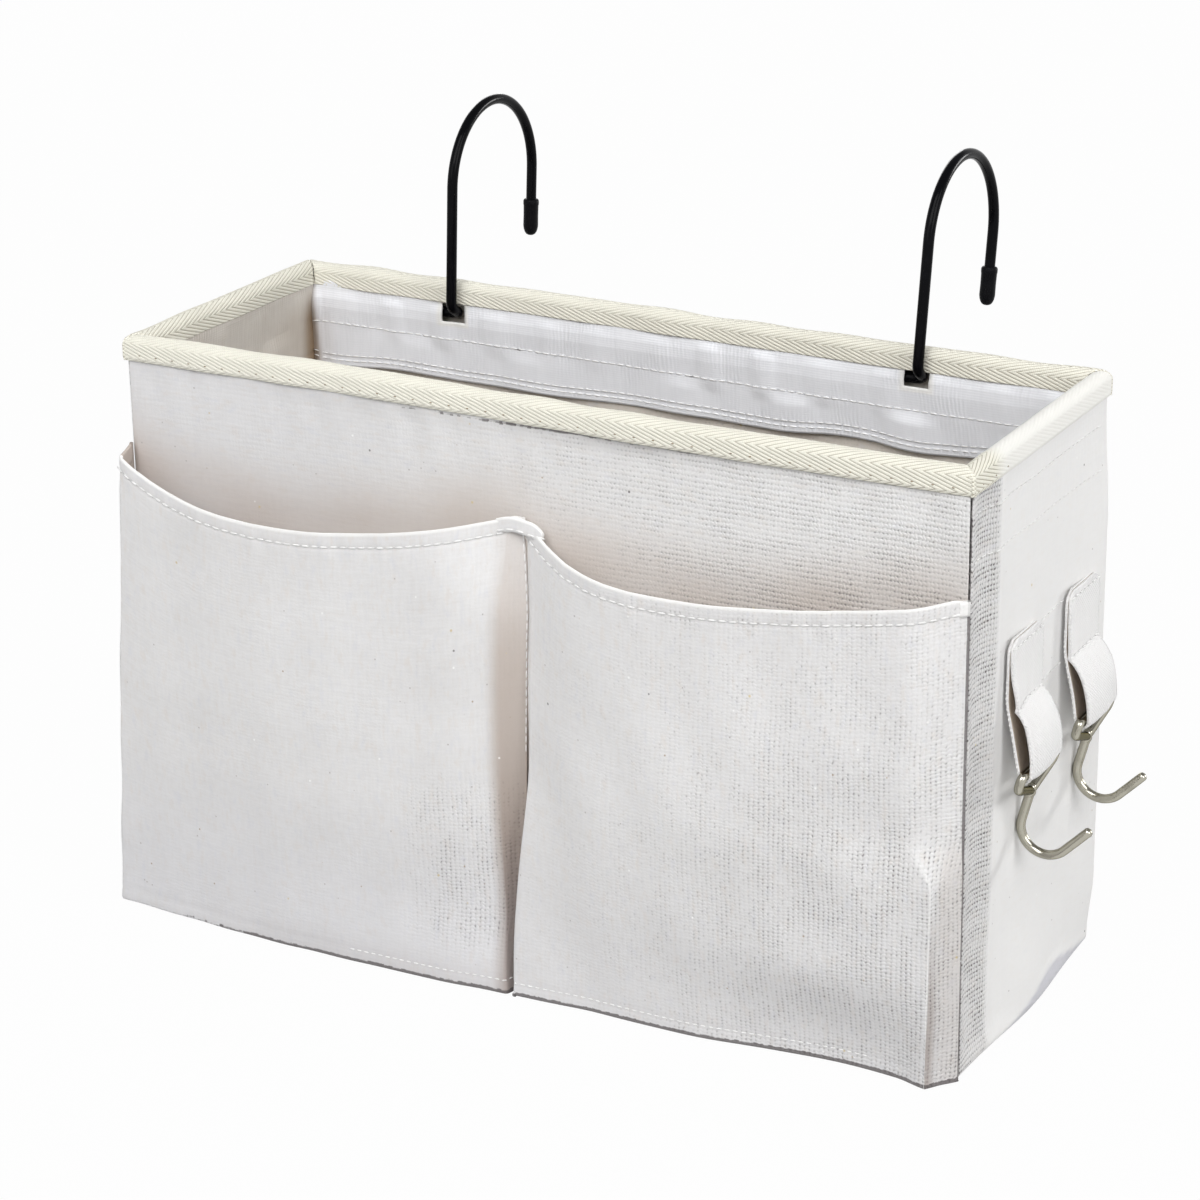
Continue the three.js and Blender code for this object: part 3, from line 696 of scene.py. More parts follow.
def wall_grid(side, swell):
    """A wall whose edges turn in at the corner seams and at its foot, swelled out by swell.

    Gives its points, each one's place along the wall and height, and how far it is turned in."""
    half = half_side(side)
    tuck = SEAM_RUN / math.sqrt(2)
    edge = half - SEAM_GAP
    plan = folded(
        [(-edge + tuck, -tuck), (-edge, 0), (edge, 0), (edge - tuck, -tuck)],
        [SEAM_LIP, SEAM_LIP],
        [3, int(2 * half / CLOTH_STEP), 3],
    )
    profile = folded(
        [(-WALL_TUCK, WALL_FOOT), (0, WALL_FOOT), (0, PLY_TOP)],
        [FOOT_ROUNDS[side]],
        [4, int(PLY_TOP / CLOTH_STEP)],
    )
    along, turn_in = plan[None, :, 0], plan[None, :, 1]
    foot_in, height = profile[:, None, 0], profile[:, None, 1]
    shrink = 1 + foot_in / half
    points = on_side(side, along * shrink, turn_in + foot_in, height)
    body = smooth(0, 10, half - abs(along)) * smooth(0, 10, height) * smooth(0, 9, PLY_TOP - height)
    push = swell(along, height) * body
    outward = on_side(side, 0, 1, 0) - on_side(side, 0, 0, 0)
    return points + push[..., None] * outward, along, height, turn_in


def seam_shade_marks(side, along, height, turn_in):
    """Painted shade: darker, ragged lines in the corner seams' gaps, and a painted shadow under the tape's
    edge.
    """
    lip = 0.66 * smooth(-0.05, -0.5, turn_in)
    shade = {"front": smooth(-130, 40, along), "right": smooth(-30, -38, along)}.get(side, 0.5)
    return np.maximum(lip, 0.75 * shade * bump(height, RIM_TOP - OUTER_DROP + 0.1, 0.9))


def front_marks(along, height):
    """Coarser towards the right. Painted shade inside the pockets' mouths and at the left edge; painted
    light makes it paler to the right, painted shade greyer to the left.
    """
    hem = np.where(along < SEAM_X, left_hem(along), right_hem(along))
    mouth = np.clip(smooth(24, -6, height - hem) * (0.8 + 0.12 * ripple(along, height, 40, 6)), 0, 1)
    corner = smooth(-148, -148.6, along) * smooth(168, 162, height)
    coarse = 0.1 + 0.9 * smooth(-60, 120, along)
    return {
        "coarse": coarse - 0.3 * mouth * smooth(90, 20, along),
        "warm": mouth,
        "shade": 0.14 * mouth + 0.5 * corner,
        "cool": 0.12 * smooth(0, -120, along),
        "pale": 0.35 * smooth(-40, 120, along) * (1 - mouth),
    }


def right_marks(along, height):
    """The strip next to the front seam has an open weave and a little painted shade; the rest is painted
    paler, painted light, and its turned-under foot has bluish-grey painted shade.
    """
    strip = smooth(-31, -36, along) + 0 * height
    turned_under = 6.6 * bump(along, 18, 32)
    cool = smooth(turned_under + 0.8, turned_under - 0.8, height)
    return {
        "coarse": 1.5 * strip,
        "pale": 0.75 * (1 - strip) * (1 - cool),
        "shade": 0.04 * strip,
        "cool": 0.65 * cool,
    }


def left_marks(along, height):
    """Painted shade, brownish, in the corner next to the back, on the inside."""
    return {"coarse": 0.3, "stain": 0.85 * smooth(-34, -52, along) * smooth(130, 185, height)}


def back_marks(along, height):
    """Fainter brownish painted shade in that corner on the back's inside."""
    return {"coarse": 0.3, "stain": 0.5 * smooth(134, 148, along) * smooth(130, 185, height)}


def front_swell(along, height):
    """A flat wall that settles a little, puckered under the tape."""
    settle = -0.6 + 0.35 * ripple(along, height, 90, 3)
    pucker = 0.16 * ripple(along, height * 0.2, 14, 4, 0.3) * smooth(165, 188, height)
    return settle + pucker


def right_swell(along, height):
    """The strip next to the front seam is hollow up to a fold, with loose upright folds behind it."""
    strip = (along + HALF_DEPTH) / END_STRIP
    hollow = -2.0 * np.sin(math.pi * np.clip(strip, 0, 1)) * smooth(0, 30, height)
    fold = 0.7 * bump(along, -33.5, 3.0) * smooth(5, 60, height)
    rear = smooth(-30, -18, along)
    folds = 0.75 * ripple(along, height * 0.18, 34, 8, 0.5) * rear
    low = -0.8 * smooth(60, 4, height)
    return hollow + fold + folds * (0.25 + 0.75 * smooth(170, 130, height)) + low - 0.5


def plain_swell(along, height):
    """Slack waves in a wall that nothing is sewn to."""
    return -0.7 + 0.5 * ripple(along, height, 75, 5)


def filled(points):
    """The box stands out a little at its right rear corner and along the right end's foot."""
    x, y, z = points[..., 0], points[..., 1], points[..., 2]
    corner = 1.8 * smooth(4, 26, z) * smooth(188, 150, z) * smooth(126, 150, x) * smooth(20, 55, y)
    foot = 2.8 * smooth(40, 6, z) * bump(y, 2, 32) * smooth(140, 149, x)
    return points + corner[..., None] * [0.8, 0.6, 0] + foot[..., None] * [1, 0, 0]


def build_wall(side, node, swell, marks_of):
    points, along, height, turn_in = wall_grid(side, swell)
    points = filled(points)
    marks = {"dark": seam_shade_marks(side, along, height, turn_in), **marks_of(along, height)}
    piece = cloth(f"{node}_cloth", points, flat_grid(points), LINEN, CLOTH, LINEN_INSIDE_SHADED, marks=marks)
    size = (2 * half_side(side) + 2 * SEAM_RUN, PLY_TOP + WALL_TUCK)
    sewn(node, size)
    return points


walls = {
    "front": build_wall("front", "front_panel", front_swell, front_marks),
    "right": build_wall("right", "right_end_panel", right_swell, right_marks),
    "back": build_wall("back", "back_panel", plain_swell, back_marks),
    "left": build_wall("left", "left_end_panel", plain_swell, left_marks),
}


def build_base():
    low, high = node_box("base_panel")
    step = 3.0
    x, y = np.meshgrid(np.arange(low[0] + 1, high[0], step), np.arange(high[1] - 1, low[1], -step))
    z = 0.12 + 0.2 * (1 + ripple(x, y, 60, 9) / 1.6) * smooth(0, 12, high[1] - abs(y))
    points = np.stack([x, y, np.maximum(z, 0.02)], axis=-1)
    piece = cloth("base_panel_cloth", points, flat_grid(points), LINEN, THIN_CLOTH)
    sewn("base_panel", (high[0] - low[0], high[1] - low[1]))


build_base()

# Rim: a tape folded over the wire, with real ribs

TAPE_STEP = 0.27
TAPE_RUN = 0.85
RIB_HEIGHT = 0.16
BEAD_PITCH = 1.7
STITCH_INSET = 2.2
MITRE_GAP = 0.04
INNER_DROPS = {"front": 6.6, "right": 6.6, "back": 7.8, "left": 7.8}
RIB_WAYS = {"front": -1, "right": -1, "back": 1, "left": 1}


def tape_section(out_face, in_face, top, outer_drop, inner_drop):
    """A tape folded over an edge: points (out, height), their distance from the top and their ways."""
    radius = (out_face - in_face) / 2
    middle = (out_face + in_face) / 2
    quarter = radius * math.pi / 2
    outer = outer_drop - radius + quarter
    inner = inner_drop - radius + quarter
    place = np.linspace(-outer, inner, int((outer + inner) / TAPE_STEP))
    turn = np.clip(place / radius, -math.pi / 2, math.pi / 2)
    over = np.maximum(abs(place) - quarter, 0)
    out = middle - radius * np.sin(turn)
    height = top - radius + radius * np.cos(turn) - over
    ways = np.stack([-np.sin(turn), np.cos(turn)], axis=-1)
    return np.stack([out, height], axis=-1), place, ways


def tape_relief(along, place, way, seed):
    """Ribs that slant away from the chevron lines, beads on both edges and a slight unevenness."""
    zigzag = abs((place - CHEVRON_PLACE + CHEVRON_GAP / 2) % CHEVRON_GAP - CHEVRON_GAP / 2)
    rib = abs(np.cos((way * along + RIB_LEAN * zigzag) * math.pi / RIB_PITCH)) ** 0.7
    edge = np.minimum(place - place.min(), place.max() - place)
    beads = abs(np.cos(along * math.pi / BEAD_PITCH)) * smooth(1.1, 0.2, edge)
    return RIB_HEIGHT * (rib * smooth(0.2, 1.2, edge) + beads) + 0.14 * ripple(along, place, 30, seed)


def raised_tape(section, ways, high):
    """How far out and how high the tape's points are, lifted off its section by its relief."""
    spots = section[:, None] + high[..., None] * ways[:, None]
    return spots[..., 0], spots[..., 1]


def rim_rise(x, y):
    """The rim is not quite level: it climbs a little towards the left, most at the front."""
    return (1.5 - 0.4 * y / HALF_DEPTH) * smooth(95, -95, x)


def tape_marks(side, points):
    """Darker lines between the ribs, painted shade in their grooves: all along the left, fading to the
    left on the front and the back, and only near the front on the right, whose tape further back is
    painted paler, painted light."""
    x, y = points[..., 0], points[..., 1]
    if side == "right":
        return {"coarse": 1.3 * smooth(-33, -42, y), "pale": 0.8 * smooth(-42, -30, y)}
    return {"coarse": np.ones(x.shape) if side == "left" else 0.1 + 0.9 * smooth(-90, 110, x)}


def build_tape(side, seed):
    """One side's tape, mitred at both ends. On the right its stitches show only near the front."""
    half = half_side(side)
    top = RIM_TOP - RIB_HEIGHT
    section, place, ways = tape_section(TAPE_OUT, TAPE_IN, top, OUTER_DROP, INNER_DROPS[side])
    reach = half + section[:, 0] - MITRE_GAP
    steps = np.linspace(-1, 1, int(2 * half / TAPE_RUN))
    along = steps[None, :] * reach[:, None]
    from_mitre = reach[:, None] - abs(along)
    worn = 0.7 * smooth(-42, -30, along) * (side == "right")
    high = tape_relief(along, place[:, None], RIB_WAYS[side], seed) * (1 - worn) - RIB_HEIGHT
    outside = smooth(2.0, -1.0, place)[:, None]
    mitre = 0.5 * smooth(1.1, 0.0, from_mitre) * outside
    lower_edge = 0.35 * smooth(1.2, 0, place - place.min())[:, None]
    high = high - mitre - lower_edge
    points = on_side(side, along, *raised_tape(section, ways, high))
    points[..., 2] += rim_rise(points[..., 0], points[..., 1])
    flat = np.stack(np.broadcast_arrays(RIB_WAYS[side] * along, place[:, None]), axis=-1)
    piece = cloth(f"rim_tape_{side}", points, flat, TAPE_LOOK, TAPE, marks=tape_marks(side, points))
    width = place[-1] - place[0]
    sewn(f"rim_binding_{side}", (2 * half, width))
    row = nearest(place, place[0] + STITCH_INSET)
    columns = slice(8, 30) if side == "right" else slice(8, -8)
    stitch_line("tape_stitches", points[row, columns], facing_ways(points)[row, columns], 0)


for i, rim_side in enumerate(("front", "right", "back", "left")):
    build_tape(rim_side, 20 + i)

# Facings inside the mouth. The back one makes the tunnel for the hooks' toes.

FACING_HEM = 164.7
FACING_SEAM = 180.0
FACING_STEP = 0.9
FACING_SHORT = 8
HEM_LINES = (166.5, 168.7)
HOOK_JOINTS = {"left": "rail_hook_left_fold", "right": "rail_hook_right_fold"}
SLIT_TOE = 7.0
SLIT_HEEL = 2.9
SLIT_LOW = 3.0
SLIT_TOP = 193.4


def facing_grid(side, corners, radii, counts, seed, spare):
    """A facing with slack waves in it, and the height of each of its rows."""
    section = folded(corners, radii, counts)
    out, height = section[:, 0], section[:, 1]
    reach = half_side(side) + out + spare
    steps = np.linspace(-1, 1, int(2 * half_side(side) / FACING_STEP))
    along = steps[None, :] * reach[:, None]
    tall = height[:, None]
    flap = smooth(FACING_SEAM, FACING_SEAM - 6, tall)
    tunnel = smooth(192, 189, tall) * (1 - flap)
    edge = smooth(0, 8, reach[:, None] - abs(along))
    hem_wave = 0.4 * ripple(along, 0 * along, 60, seed, 0.2) * flap * edge
    lift = np.maximum(0.5 * ripple(along, tall * 0.3, 38, seed + 1, 0.4), -0.1) * flap * edge
    pinch = -0.15 * bump(tall, FACING_HEM + 3, 0.8)
    slack = np.maximum(0.22 * ripple(along, tall * 0.5, 17, seed + 2, 0.5), -0.1) * tunnel * edge
    points = on_side(side, along, out[:, None] - (lift + pinch + slack), tall + hem_wave)
    return points[:, ::-1], height


def facing_stitches(points, height):
    """The lines under the tunnel and along the hem, on the facing's inner side."""
    ways = facing_ways(points)
    for line in [FACING_SEAM, *HEM_LINES]:
        row = nearest(height, line)
        inner = points[row, 4:-4] - THIN_CLOTH * ways[row, 4:-4]
        stitch_line("fine_stitches", inner, -ways[row, 4:-4])


def beside_slit(joint, x, z):
    """How far a place lies beside or below a hook's slit, less than 0 in the slit."""
    toe = joint_place(joint)
    across = np.maximum(toe[0] - SLIT_TOE - x, x - toe[0] - SLIT_HEEL)
    return np.maximum(across, toe[2] - SLIT_LOW - z)


def build_back_facing():
    """The facing with the tunnel, slit where the hooks come out, with brownish painted shade at its left
    end.
    """
    tunnel = [(-4.6, PLY_TOP), (-4.7, 191.8), (-5.1, 188.8), (-5.0, 185.6)]
    points, height = facing_grid(
        "back",
        [*tunnel, (-4.1, FACING_SEAM), (-2.6, FACING_HEM)],
        [2.0, 3.0, 4.0, 1.0],
        [4, 5, 5, 8, 22],
        seed=31,
        spare=1.4,
    )
    points[..., 1] -= 0.9 * bump(points[..., 0], -143.6, 1.6) * smooth(193, 188, points[..., 2])
    points[..., 2] -= 1.6 * smooth(-90, 110, points[..., 0]) * bump(points[..., 2], FACING_SEAM, 6)
    x, z = points[..., 0], points[..., 2]
    beside = np.minimum(*(beside_slit(joint, x, z) for joint in HOOK_JOINTS.values()))
    is_slit = (beside < 0) & (z < SLIT_TOP)
    open_cell = is_slit[:-1, :-1] & is_slit[:-1, 1:] & is_slit[1:, :-1] & is_slit[1:, 1:]
    # Painted shade, brownish, in the corner at the left end; paler round the slits.
    corner_shade = 0.28 * smooth(-135, -145, x) * smooth(191, 174, z) + 0.55 * smooth(-142.6, -146, x)
    marks = {"stain": corner_shade, "pale": smooth(1.6, 0.6, beside)}
    flat = flat_grid(points)
    piece = cloth("back_facing_cloth", points, flat, LINING, THIN_CLOTH, LINING, ~open_cell, marks)
    size = (2 * HALF_LENGTH - FACING_SHORT, lengths(points[:, 10])[-1])
    sewn("back_facing", size)
    facing_stitches(points, height)


def build_end_facing(side, seed):
    """A plain facing with brownish painted shade towards the back."""
    points, _ = facing_grid(
        side,
        [(-4.6, PLY_TOP), (-4.5, 192.0), (-3.2, FACING_SEAM), (-2.6, FACING_HEM)],
        [3.0, 4.0],
        [4, 12, 22],
        seed,
        spare=-0.3,
    )
    y, z = points[..., 1], points[..., 2]
    stain = 0.04 + (0.3 * smooth(10, 48, y) + 0.65 * smooth(42, 50, y)) * smooth(194, 180, z)
    name = f"{side}_end_facing_cloth"
    piece = cloth(name, points, flat_grid(points), SHADED_END_LINING, THIN_CLOTH, marks={"stain": stain})
    size = (2 * HALF_DEPTH - FACING_SHORT, lengths(points[:, 10])[-1])
    sewn(f"{side}_end_facing", size)


build_back_facing()
build_end_facing("left", 41)
build_end_facing("right", 47)

# Front pockets

POCKET_SEAT = 0.4
WALL = FRONT - POCKET_SEAT
POCKET_TOP = 168.0
SEAM_TURN = (SEAM_X + 1.2, WALL - 0.5)
FACE_START = 1.4
HEM_FOLD = 0.6
LEFT_EDGE_X = -160
LEFT_EDGE_LEAN = 13
LEFT_EDGE_TOP = 166
LEFT_FACE_Y = -66.6
RIGHT_FACE_Y = -67.2
PLEAT_X = 138.5
PLEAT_OPENS = 6.0
PLEAT_Y = -65.6
HEM_ZONE = 8.0
HEM_STITCH = 4.4
FOOT_STITCH = 5.0
FOOT_SEWN_FROM = -62
FOOT_SEWN_TO = 122
LEFT_GROOVE = [(2, -3.2), (32, -4.9), (67, -6.2), (102, -6.0), (136, -4.9), (165, -4.2)]
RIGHT_FOLD_X = [(2, -2.2), (33, -0.8), (69, 2.0), (104, 4.0), (155, 3.6), (165, 3.4)]
RIGHT_FOLD_Y = [(2, -69.4), (33, -65.8), (69, -64.0), (104, -62.0), (155, -58.0), (165, -57.4)]

# Rows of a pocket's grid, from the cloth under it to its hem, and columns that lie on its folds

FOOT_ROWS = 8
FACE_ROWS = 118
HEM_ROWS = 14
HEM_EDGE_ROW = FOOT_ROWS + FACE_ROWS + HEM_ROWS - 1
HEM_STITCH_ROW = FOOT_ROWS + FACE_ROWS + 6
SIDE_COLUMN = 10
LEFT_GROOVE_COLUMN = 124
LEFT_SEAM_COLUMN = 144
RIGHT_FOLD_COLUMN = 12
PLEAT_FOLD_COLUMN = 127
PLEAT_CREASE_COLUMN = 131.5
RIGHT_SEAM_COLUMN = 143


def belly(height):
    """How far a pocket's face bulges further out half-way up than at its foot."""
    return 1.6 * bump(height, 78, 46)


def right_fold(height):
    """Where the right pocket's edge next to the middle seam is folded."""
    return float(through(RIGHT_FOLD_X, height)), float(through(RIGHT_FOLD_Y, height))


def groove_end(height):
    """Where the left pocket's wall in the groove meets the right pocket's folded edge."""
    fold_x, fold_y = right_fold(height)
    y = max(WALL - 1.6 - 1.6 * float(smooth(40, 100, height)), fold_y + 1.2)
    start_x, start_y = SEAM_TURN
    return start_x + (fold_x - start_x) * (y - start_y) / (fold_y - start_y) - 0.25, y


def left_plan(height):
    """The left pocket at one height, from the box's corner round its face to the middle seam."""
    mouth = smooth(126, 160, height)
    foot = smooth(30, 2, height)
    edge = LEFT_EDGE_X + LEFT_EDGE_LEAN * (height / LEFT_EDGE_TOP) ** 1.15
    groove = float(through(LEFT_GROOVE, height))
    corners = [
        (-HALF_LENGTH + 0.2, WALL),
        (edge, LEFT_FACE_Y),
        (-24 - 4 * mouth, -67.4 + 0.6 * mouth - 3.0 * foot),
        (groove, -64.4 + 5.4 * mouth - 4.4 * foot),
        groove_end(height),
        (SEAM_X - 0.2, WALL),
    ]
    line = folded(corners, [1.5, 130, 2.0 + 2.5 * smooth(40, 110, height), 0.4], [9, 96, 14, 7, 2])
    face = np.clip((line[:, 0] - edge) / (groove - edge), 0, 1)
    line[:, 1] -= (1.5 + belly(height)) * np.sin(math.pi * face) * smooth(edge, edge + 6, line[:, 0])
    return line


def right_plan(height):
    """The right pocket at one height, from the middle seam over its folded edge to the box's corner."""
    fold = right_fold(height)
    open_pleat = smooth(84, 68, height)
    pleat_x = PLEAT_X + PLEAT_OPENS * open_pleat - 1.2 * open_pleat * (1 - height / 80)
    corners = [
        (SEAM_X + 0.2, WALL),
        SEAM_TURN,
        fold,
        (26, RIGHT_FACE_Y),
        (pleat_x, PLEAT_Y - 0.6 * open_pleat),
        (HALF_LENGTH - 0.6 + 0.6 * open_pleat, WALL - 0.3),
        (HALF_LENGTH + 0.2, WALL + 0.1),
    ]
    radii = [1.0, 1.6, 110, 13 - 11.8 * open_pleat, 0.6]
    line = folded(corners, radii, [2, 7, 14, 84, 9, 2])
    face = np.clip((line[:, 0] - fold[0]) / (pleat_x - fold[0]), 0, 1)
    foot = smooth(38, 2, height)
    line[:, 1] -= (1.3 * (1 - foot) + belly(height)) * np.sin(math.pi * face)
    line[:, 1] += 5.0 * foot * bump(line[:, 0], 108, 36) * smooth(146, 132, line[:, 0])
    return line


def pocket_grid(plan, hem, seed):
    """A pocket's cloth from under its foot, up its face and over the hem, and the face's heights."""
    heights = np.linspace(0, POCKET_TOP, 85)
    plans = np.stack([plan(height) for height in heights])

    def at(z):
        """Where each column of the plan stands at its own height."""
        place = np.clip(z / heights[1], 0, len(heights) - 1.001)
        low = place.astype(int)
        columns = np.arange(plans.shape[1])[None, :]
        share = (place - low)[..., None]
        return plans[low, columns] * (1 - share) + plans[low + 1, columns] * share

    rise = np.linspace(0, 1, FACE_ROWS)
    zone = np.linspace(0, HEM_ZONE, HEM_ROWS + 1)[1:]
    guess = 150
    z = np.concatenate([rise * guess, guess + zone])[:, None] + np.zeros(plans.shape[1])
    for _ in range(4):
        top = hem(at(z)[..., 0])[-1:]
        face = FACE_START + rise[:, None] * (top - HEM_ZONE - FACE_START)
        z = np.concatenate([face, top - HEM_ZONE + zone[:, None]])
    points = np.concatenate([at(z), z[..., None]], axis=-1)
    below = top - z
    depth = WALL - points[..., 1]
    loose = smooth(0.5, 6, depth)
    roll = 0.15 * smooth(HEM_STITCH, 2.0, below) - 0.15 * bump(below, HEM_STITCH, 0.7)
    pucker = 0.14 * ripple(points[..., 0], below * 0.2, 9, seed, 0.3) * bump(below, HEM_STITCH, 4)
    foot = -0.15 * bump(z, FOOT_STITCH, 0.7)
    wave = 0.5 * ripple(points[..., 0], z, 80, seed + 1) + 0.16 * ripple(points[..., 0], z, 26, seed + 2)
    points = points + facing_ways(points) * ((roll + pucker + foot + wave) * loose)[..., None]
    return np.concatenate([foot_rows(points), points, hem_rows(points)]), z


def foot_rows(points):
    """The cloth under the pocket, from the box's lower edge out to the foot of its face."""
    first = points[0]
    inside = np.clip(first[:, 0], -HALF_LENGTH, HALF_LENGTH)
    box_edge = np.stack([inside, np.full(len(first), WALL)], axis=-1)
    shares = (0.02, 0.25, 0.5, 0.72, 0.88, 0.95, 0.985, 0.998)
    heights = (0.5, 0.4, 0.35, 0.3, 0.3, 0.35, 0.6, 0.95)
    rows = []
    for share, height in zip(shares, heights):
        spot = box_edge + (first[:, :2] - box_edge) * share
        rows.append(np.column_stack([spot, np.full(len(first), height)]))
    return np.stack(rows)


def hem_rows(points):
    """The hem's edge turned over to the inside."""
    edge = points[-1]
    inward = -facing_ways(points)[-1] * [1, 1, 0]
    radius = HEM_FOLD * smooth(0.6, 3.0, WALL - edge[:, 1])[:, None]
    up = np.array([0, 0, 1.0])
    rows = []
    for turn in np.radians([35, 70, 110, 145, 180]):
        rows.append(edge + inward * radius * (1 - math.cos(turn)) + up * radius * math.sin(turn))
    for drop in (1.2, 2.6, 4.0, 5.0):
        rows.append(edge + inward * radius * 2 - up * drop)
    return np.stack(rows)


def weave_grid(points):
    """Each point's place on the cloth, measured along its own row from the pocket's middle."""
    steps = np.linalg.norm(np.diff(points, axis=1), axis=2)
    along = np.concatenate([np.zeros((len(points), 1)), np.cumsum(steps, axis=1)], axis=1)
    middle = points.shape[1] // 2
    along = along - along[:, middle:middle + 1] + points[:, middle:middle + 1, 0]
    up = np.broadcast_to(lengths(points[:, middle])[:, None], along.shape)
    return np.stack([along, up], axis=-1)


def build_pocket(side, plan, hem, seed, columns, marks_of):
    """One front pocket with its hem and foot stitches. The hem is sewn along the given columns."""
    points, z = pocket_grid(plan, hem, seed)
    row, column = np.indices(points.shape[:2])
    marks = {"dark": 0, "fold": 0, **marks_of(points, column)}
    # Paler along the hem's folded edge, with the painted highlight of the pleat's fold, and a painted
    # shadow along the foot.
    hem_edge = 0.9 * (row >= HEM_EDGE_ROW) * (column > SIDE_COLUMN)
    foot_shadow = 0.88 * (row <= FOOT_ROWS) * smooth(-175, -70, points[..., 0])
    marks["pale"] = np.maximum(hem_edge, marks.pop("fold"))
    marks["dark"] = np.maximum(marks["dark"], foot_shadow)
    upright = weave_grid(points)[..., ::-1]
    piece = cloth(f"{side}_pocket_cloth", points, upright, LINEN, POCKET_CLOTH, marks=marks)
    middle = points[:, points.shape[1] // 2]
    width = lengths(points[points.shape[0] // 2])[-1]
    sewn(f"{side}_pocket", (width, lengths(middle)[-1]))
    ways = facing_ways(points)
    stitch_line("seam_stitches", points[HEM_STITCH_ROW, columns], ways[HEM_STITCH_ROW, columns])
    foot_row = FOOT_ROWS + nearest(z[:, 60], FOOT_STITCH)
    low = points[foot_row]
    sewn_part = (low[:, 0] > FOOT_SEWN_FROM) & (low[:, 0] < FOOT_SEWN_TO)
    stitch_line("foot_stitches", low[sewn_part], ways[foot_row, sewn_part], 0.05)
    return points


def left_pocket_marks(points, column):
    """Smooth cloth, coarser low on the right, with warmer painted shade on the groove's wall at the middle
    seam and on the left side near the top, and painted shade towards the foot.
    """
    x, z = points[..., 0], points[..., 2]
    groove = smooth(LEFT_GROOVE_COLUMN, LEFT_GROOVE_COLUMN + 12, column)
    side = (column < SIDE_COLUMN) * smooth(138, 150, z)
    deep = 0.2 + 0.28 * smooth(150, 95, z) + 0.5 * smooth(100, 30, z)
    across = 1 - 0.45 * smooth(LEFT_SEAM_COLUMN - 6, LEFT_SEAM_COLUMN + 3, column)
    low = 0.16 * smooth(15, 1, z) * smooth(-142, -70, x)
    return {
        "coarse": 0.06 + 0.6 * smooth(-48, -24, x) * smooth(84, 54, z) * smooth(4, 24, z),
        "warm": 0.9 * np.maximum(groove * (0.35 + 0.65 * smooth(160, 110, z)), side),
        "shade": np.maximum(np.maximum(groove * deep * across, 0.5 * side), low),
        "cool": 0.22 * smooth(75, 10, z),
    }


def right_pocket_marks(points, column):
    """Coarser along the hem and to the lower right. Painted shade in the pleat, from the middle seam to
    the fold, in the crease, in the corner seam and towards the foot, and a painted highlight along the
    pleat's fold.
    """
    x, z = points[..., 0], points[..., 2]
    pleat = smooth(144.6, 146.5, x) * smooth(88, 72, z)
    below = points[HEM_EDGE_ROW, :, 2] - z
    hem = 0.5 * bump(below, 4, 4) * smooth(10, 45, x)
    coarse = np.maximum(hem, 0.15 + 0.7 * smooth(10, 130, x) * (0.45 + 0.55 * smooth(140, 60, z)))
    # A painted highlight along the pleat's fold.
    fold = bump(column, PLEAT_FOLD_COLUMN, 1.2) * smooth(80, 64, z)
    crease = bump(column, PLEAT_CREASE_COLUMN, 1.9) * smooth(70, 15, z)
    return {
        "coarse": coarse,
        "warm": np.maximum(0.25 * pleat, 1.0 * (column < RIGHT_FOLD_COLUMN)),
        "dark": 0.78 * (column > RIGHT_SEAM_COLUMN),
        "shade": np.maximum(0.1 * pleat, 0.75 * crease),
        "cool": 0.1 * smooth(75, 10, z),
        "fold": fold,
    }


left_pocket = build_pocket("left", left_plan, left_hem, 61, slice(12, -14), left_pocket_marks)
build_pocket("right", right_plan, right_hem, 67, slice(16, -8), right_pocket_marks)


def middle_seam_stitches():
    """The seam that holds the left pocket to the box, seen in the groove."""
    column = left_pocket[FOOT_ROWS:HEM_EDGE_ROW, LEFT_SEAM_COLUMN]
    ways = facing_ways(left_pocket)[FOOT_ROWS:HEM_EDGE_ROW, LEFT_SEAM_COLUMN]
    shown = (column[:, 2] > 84) & (column[:, 2] < 156)
    stitch_line("fine_stitches", column[shown], ways[shown])


middle_seam_stitches()

# The left hem's end, sewn flat over the middle seam and the right pocket's fold

TIP_TOP = [(-8, 160.9), (-5, 161.8), (-2.3, 162.2), (1.5, 161.6), (5, 160.6), (7.8, 159.4)]
TIP_Y = [(-8, -60.0), (-4, -59.9), (0, -59.5), (4, -58.9), (7.8, -58.3)]
TIP_HEIGHT = 4.3
TIP_ROUND = 4.2
TIP_ROWS = 12


def build_hem_tip():
    start, end = TIP_TOP[0][0], TIP_TOP[-1][0]
    x = start + (end - start) * np.sin(np.linspace(0, math.pi / 2, 34))
    past = np.clip((x - end + TIP_ROUND) / TIP_ROUND, 0, 1)
    tall = TIP_HEIGHT * np.sqrt(np.maximum(1 - past ** 2, 0.02))
    top = through(TIP_TOP, x) - 0.45 * (TIP_HEIGHT - tall)
    y = through(TIP_Y, x)
    rows = [np.column_stack([x, y + 0.12 * bump(share, 0.2, 0.12), top - tall * (1 - share)])
            for share in np.linspace(0, 1, TIP_ROWS)]
    for turn in np.radians([45, 90, 135, 180]):
        back, rise = HEM_FOLD * (1 - math.cos(turn)), HEM_FOLD * math.sin(turn)
        rows.append(np.column_stack([x, y + back, top + rise]))
    rows += [np.column_stack([x, y + 2 * HEM_FOLD, top - share * tall]) for share in (0.3, 0.65, 1.0)]
    points = np.stack(rows)
    marks = {"pale": 0.9 * (np.indices(points.shape[:2])[0] >= TIP_ROWS - 1), "coarse": 0.1}
    piece = cloth("hem_tip", points, flat_grid(points), LINEN, POCKET_CLOTH, marks=marks)
    size = (lengths(points[0])[-1], lengths(points[:, 8])[-1])
    sewn(None, size)
    stitch_line("seam_stitches", points[2, 2:-5] - [0, 0.1, 0], facing_ways(points)[2, 2:-5])


build_hem_tip()

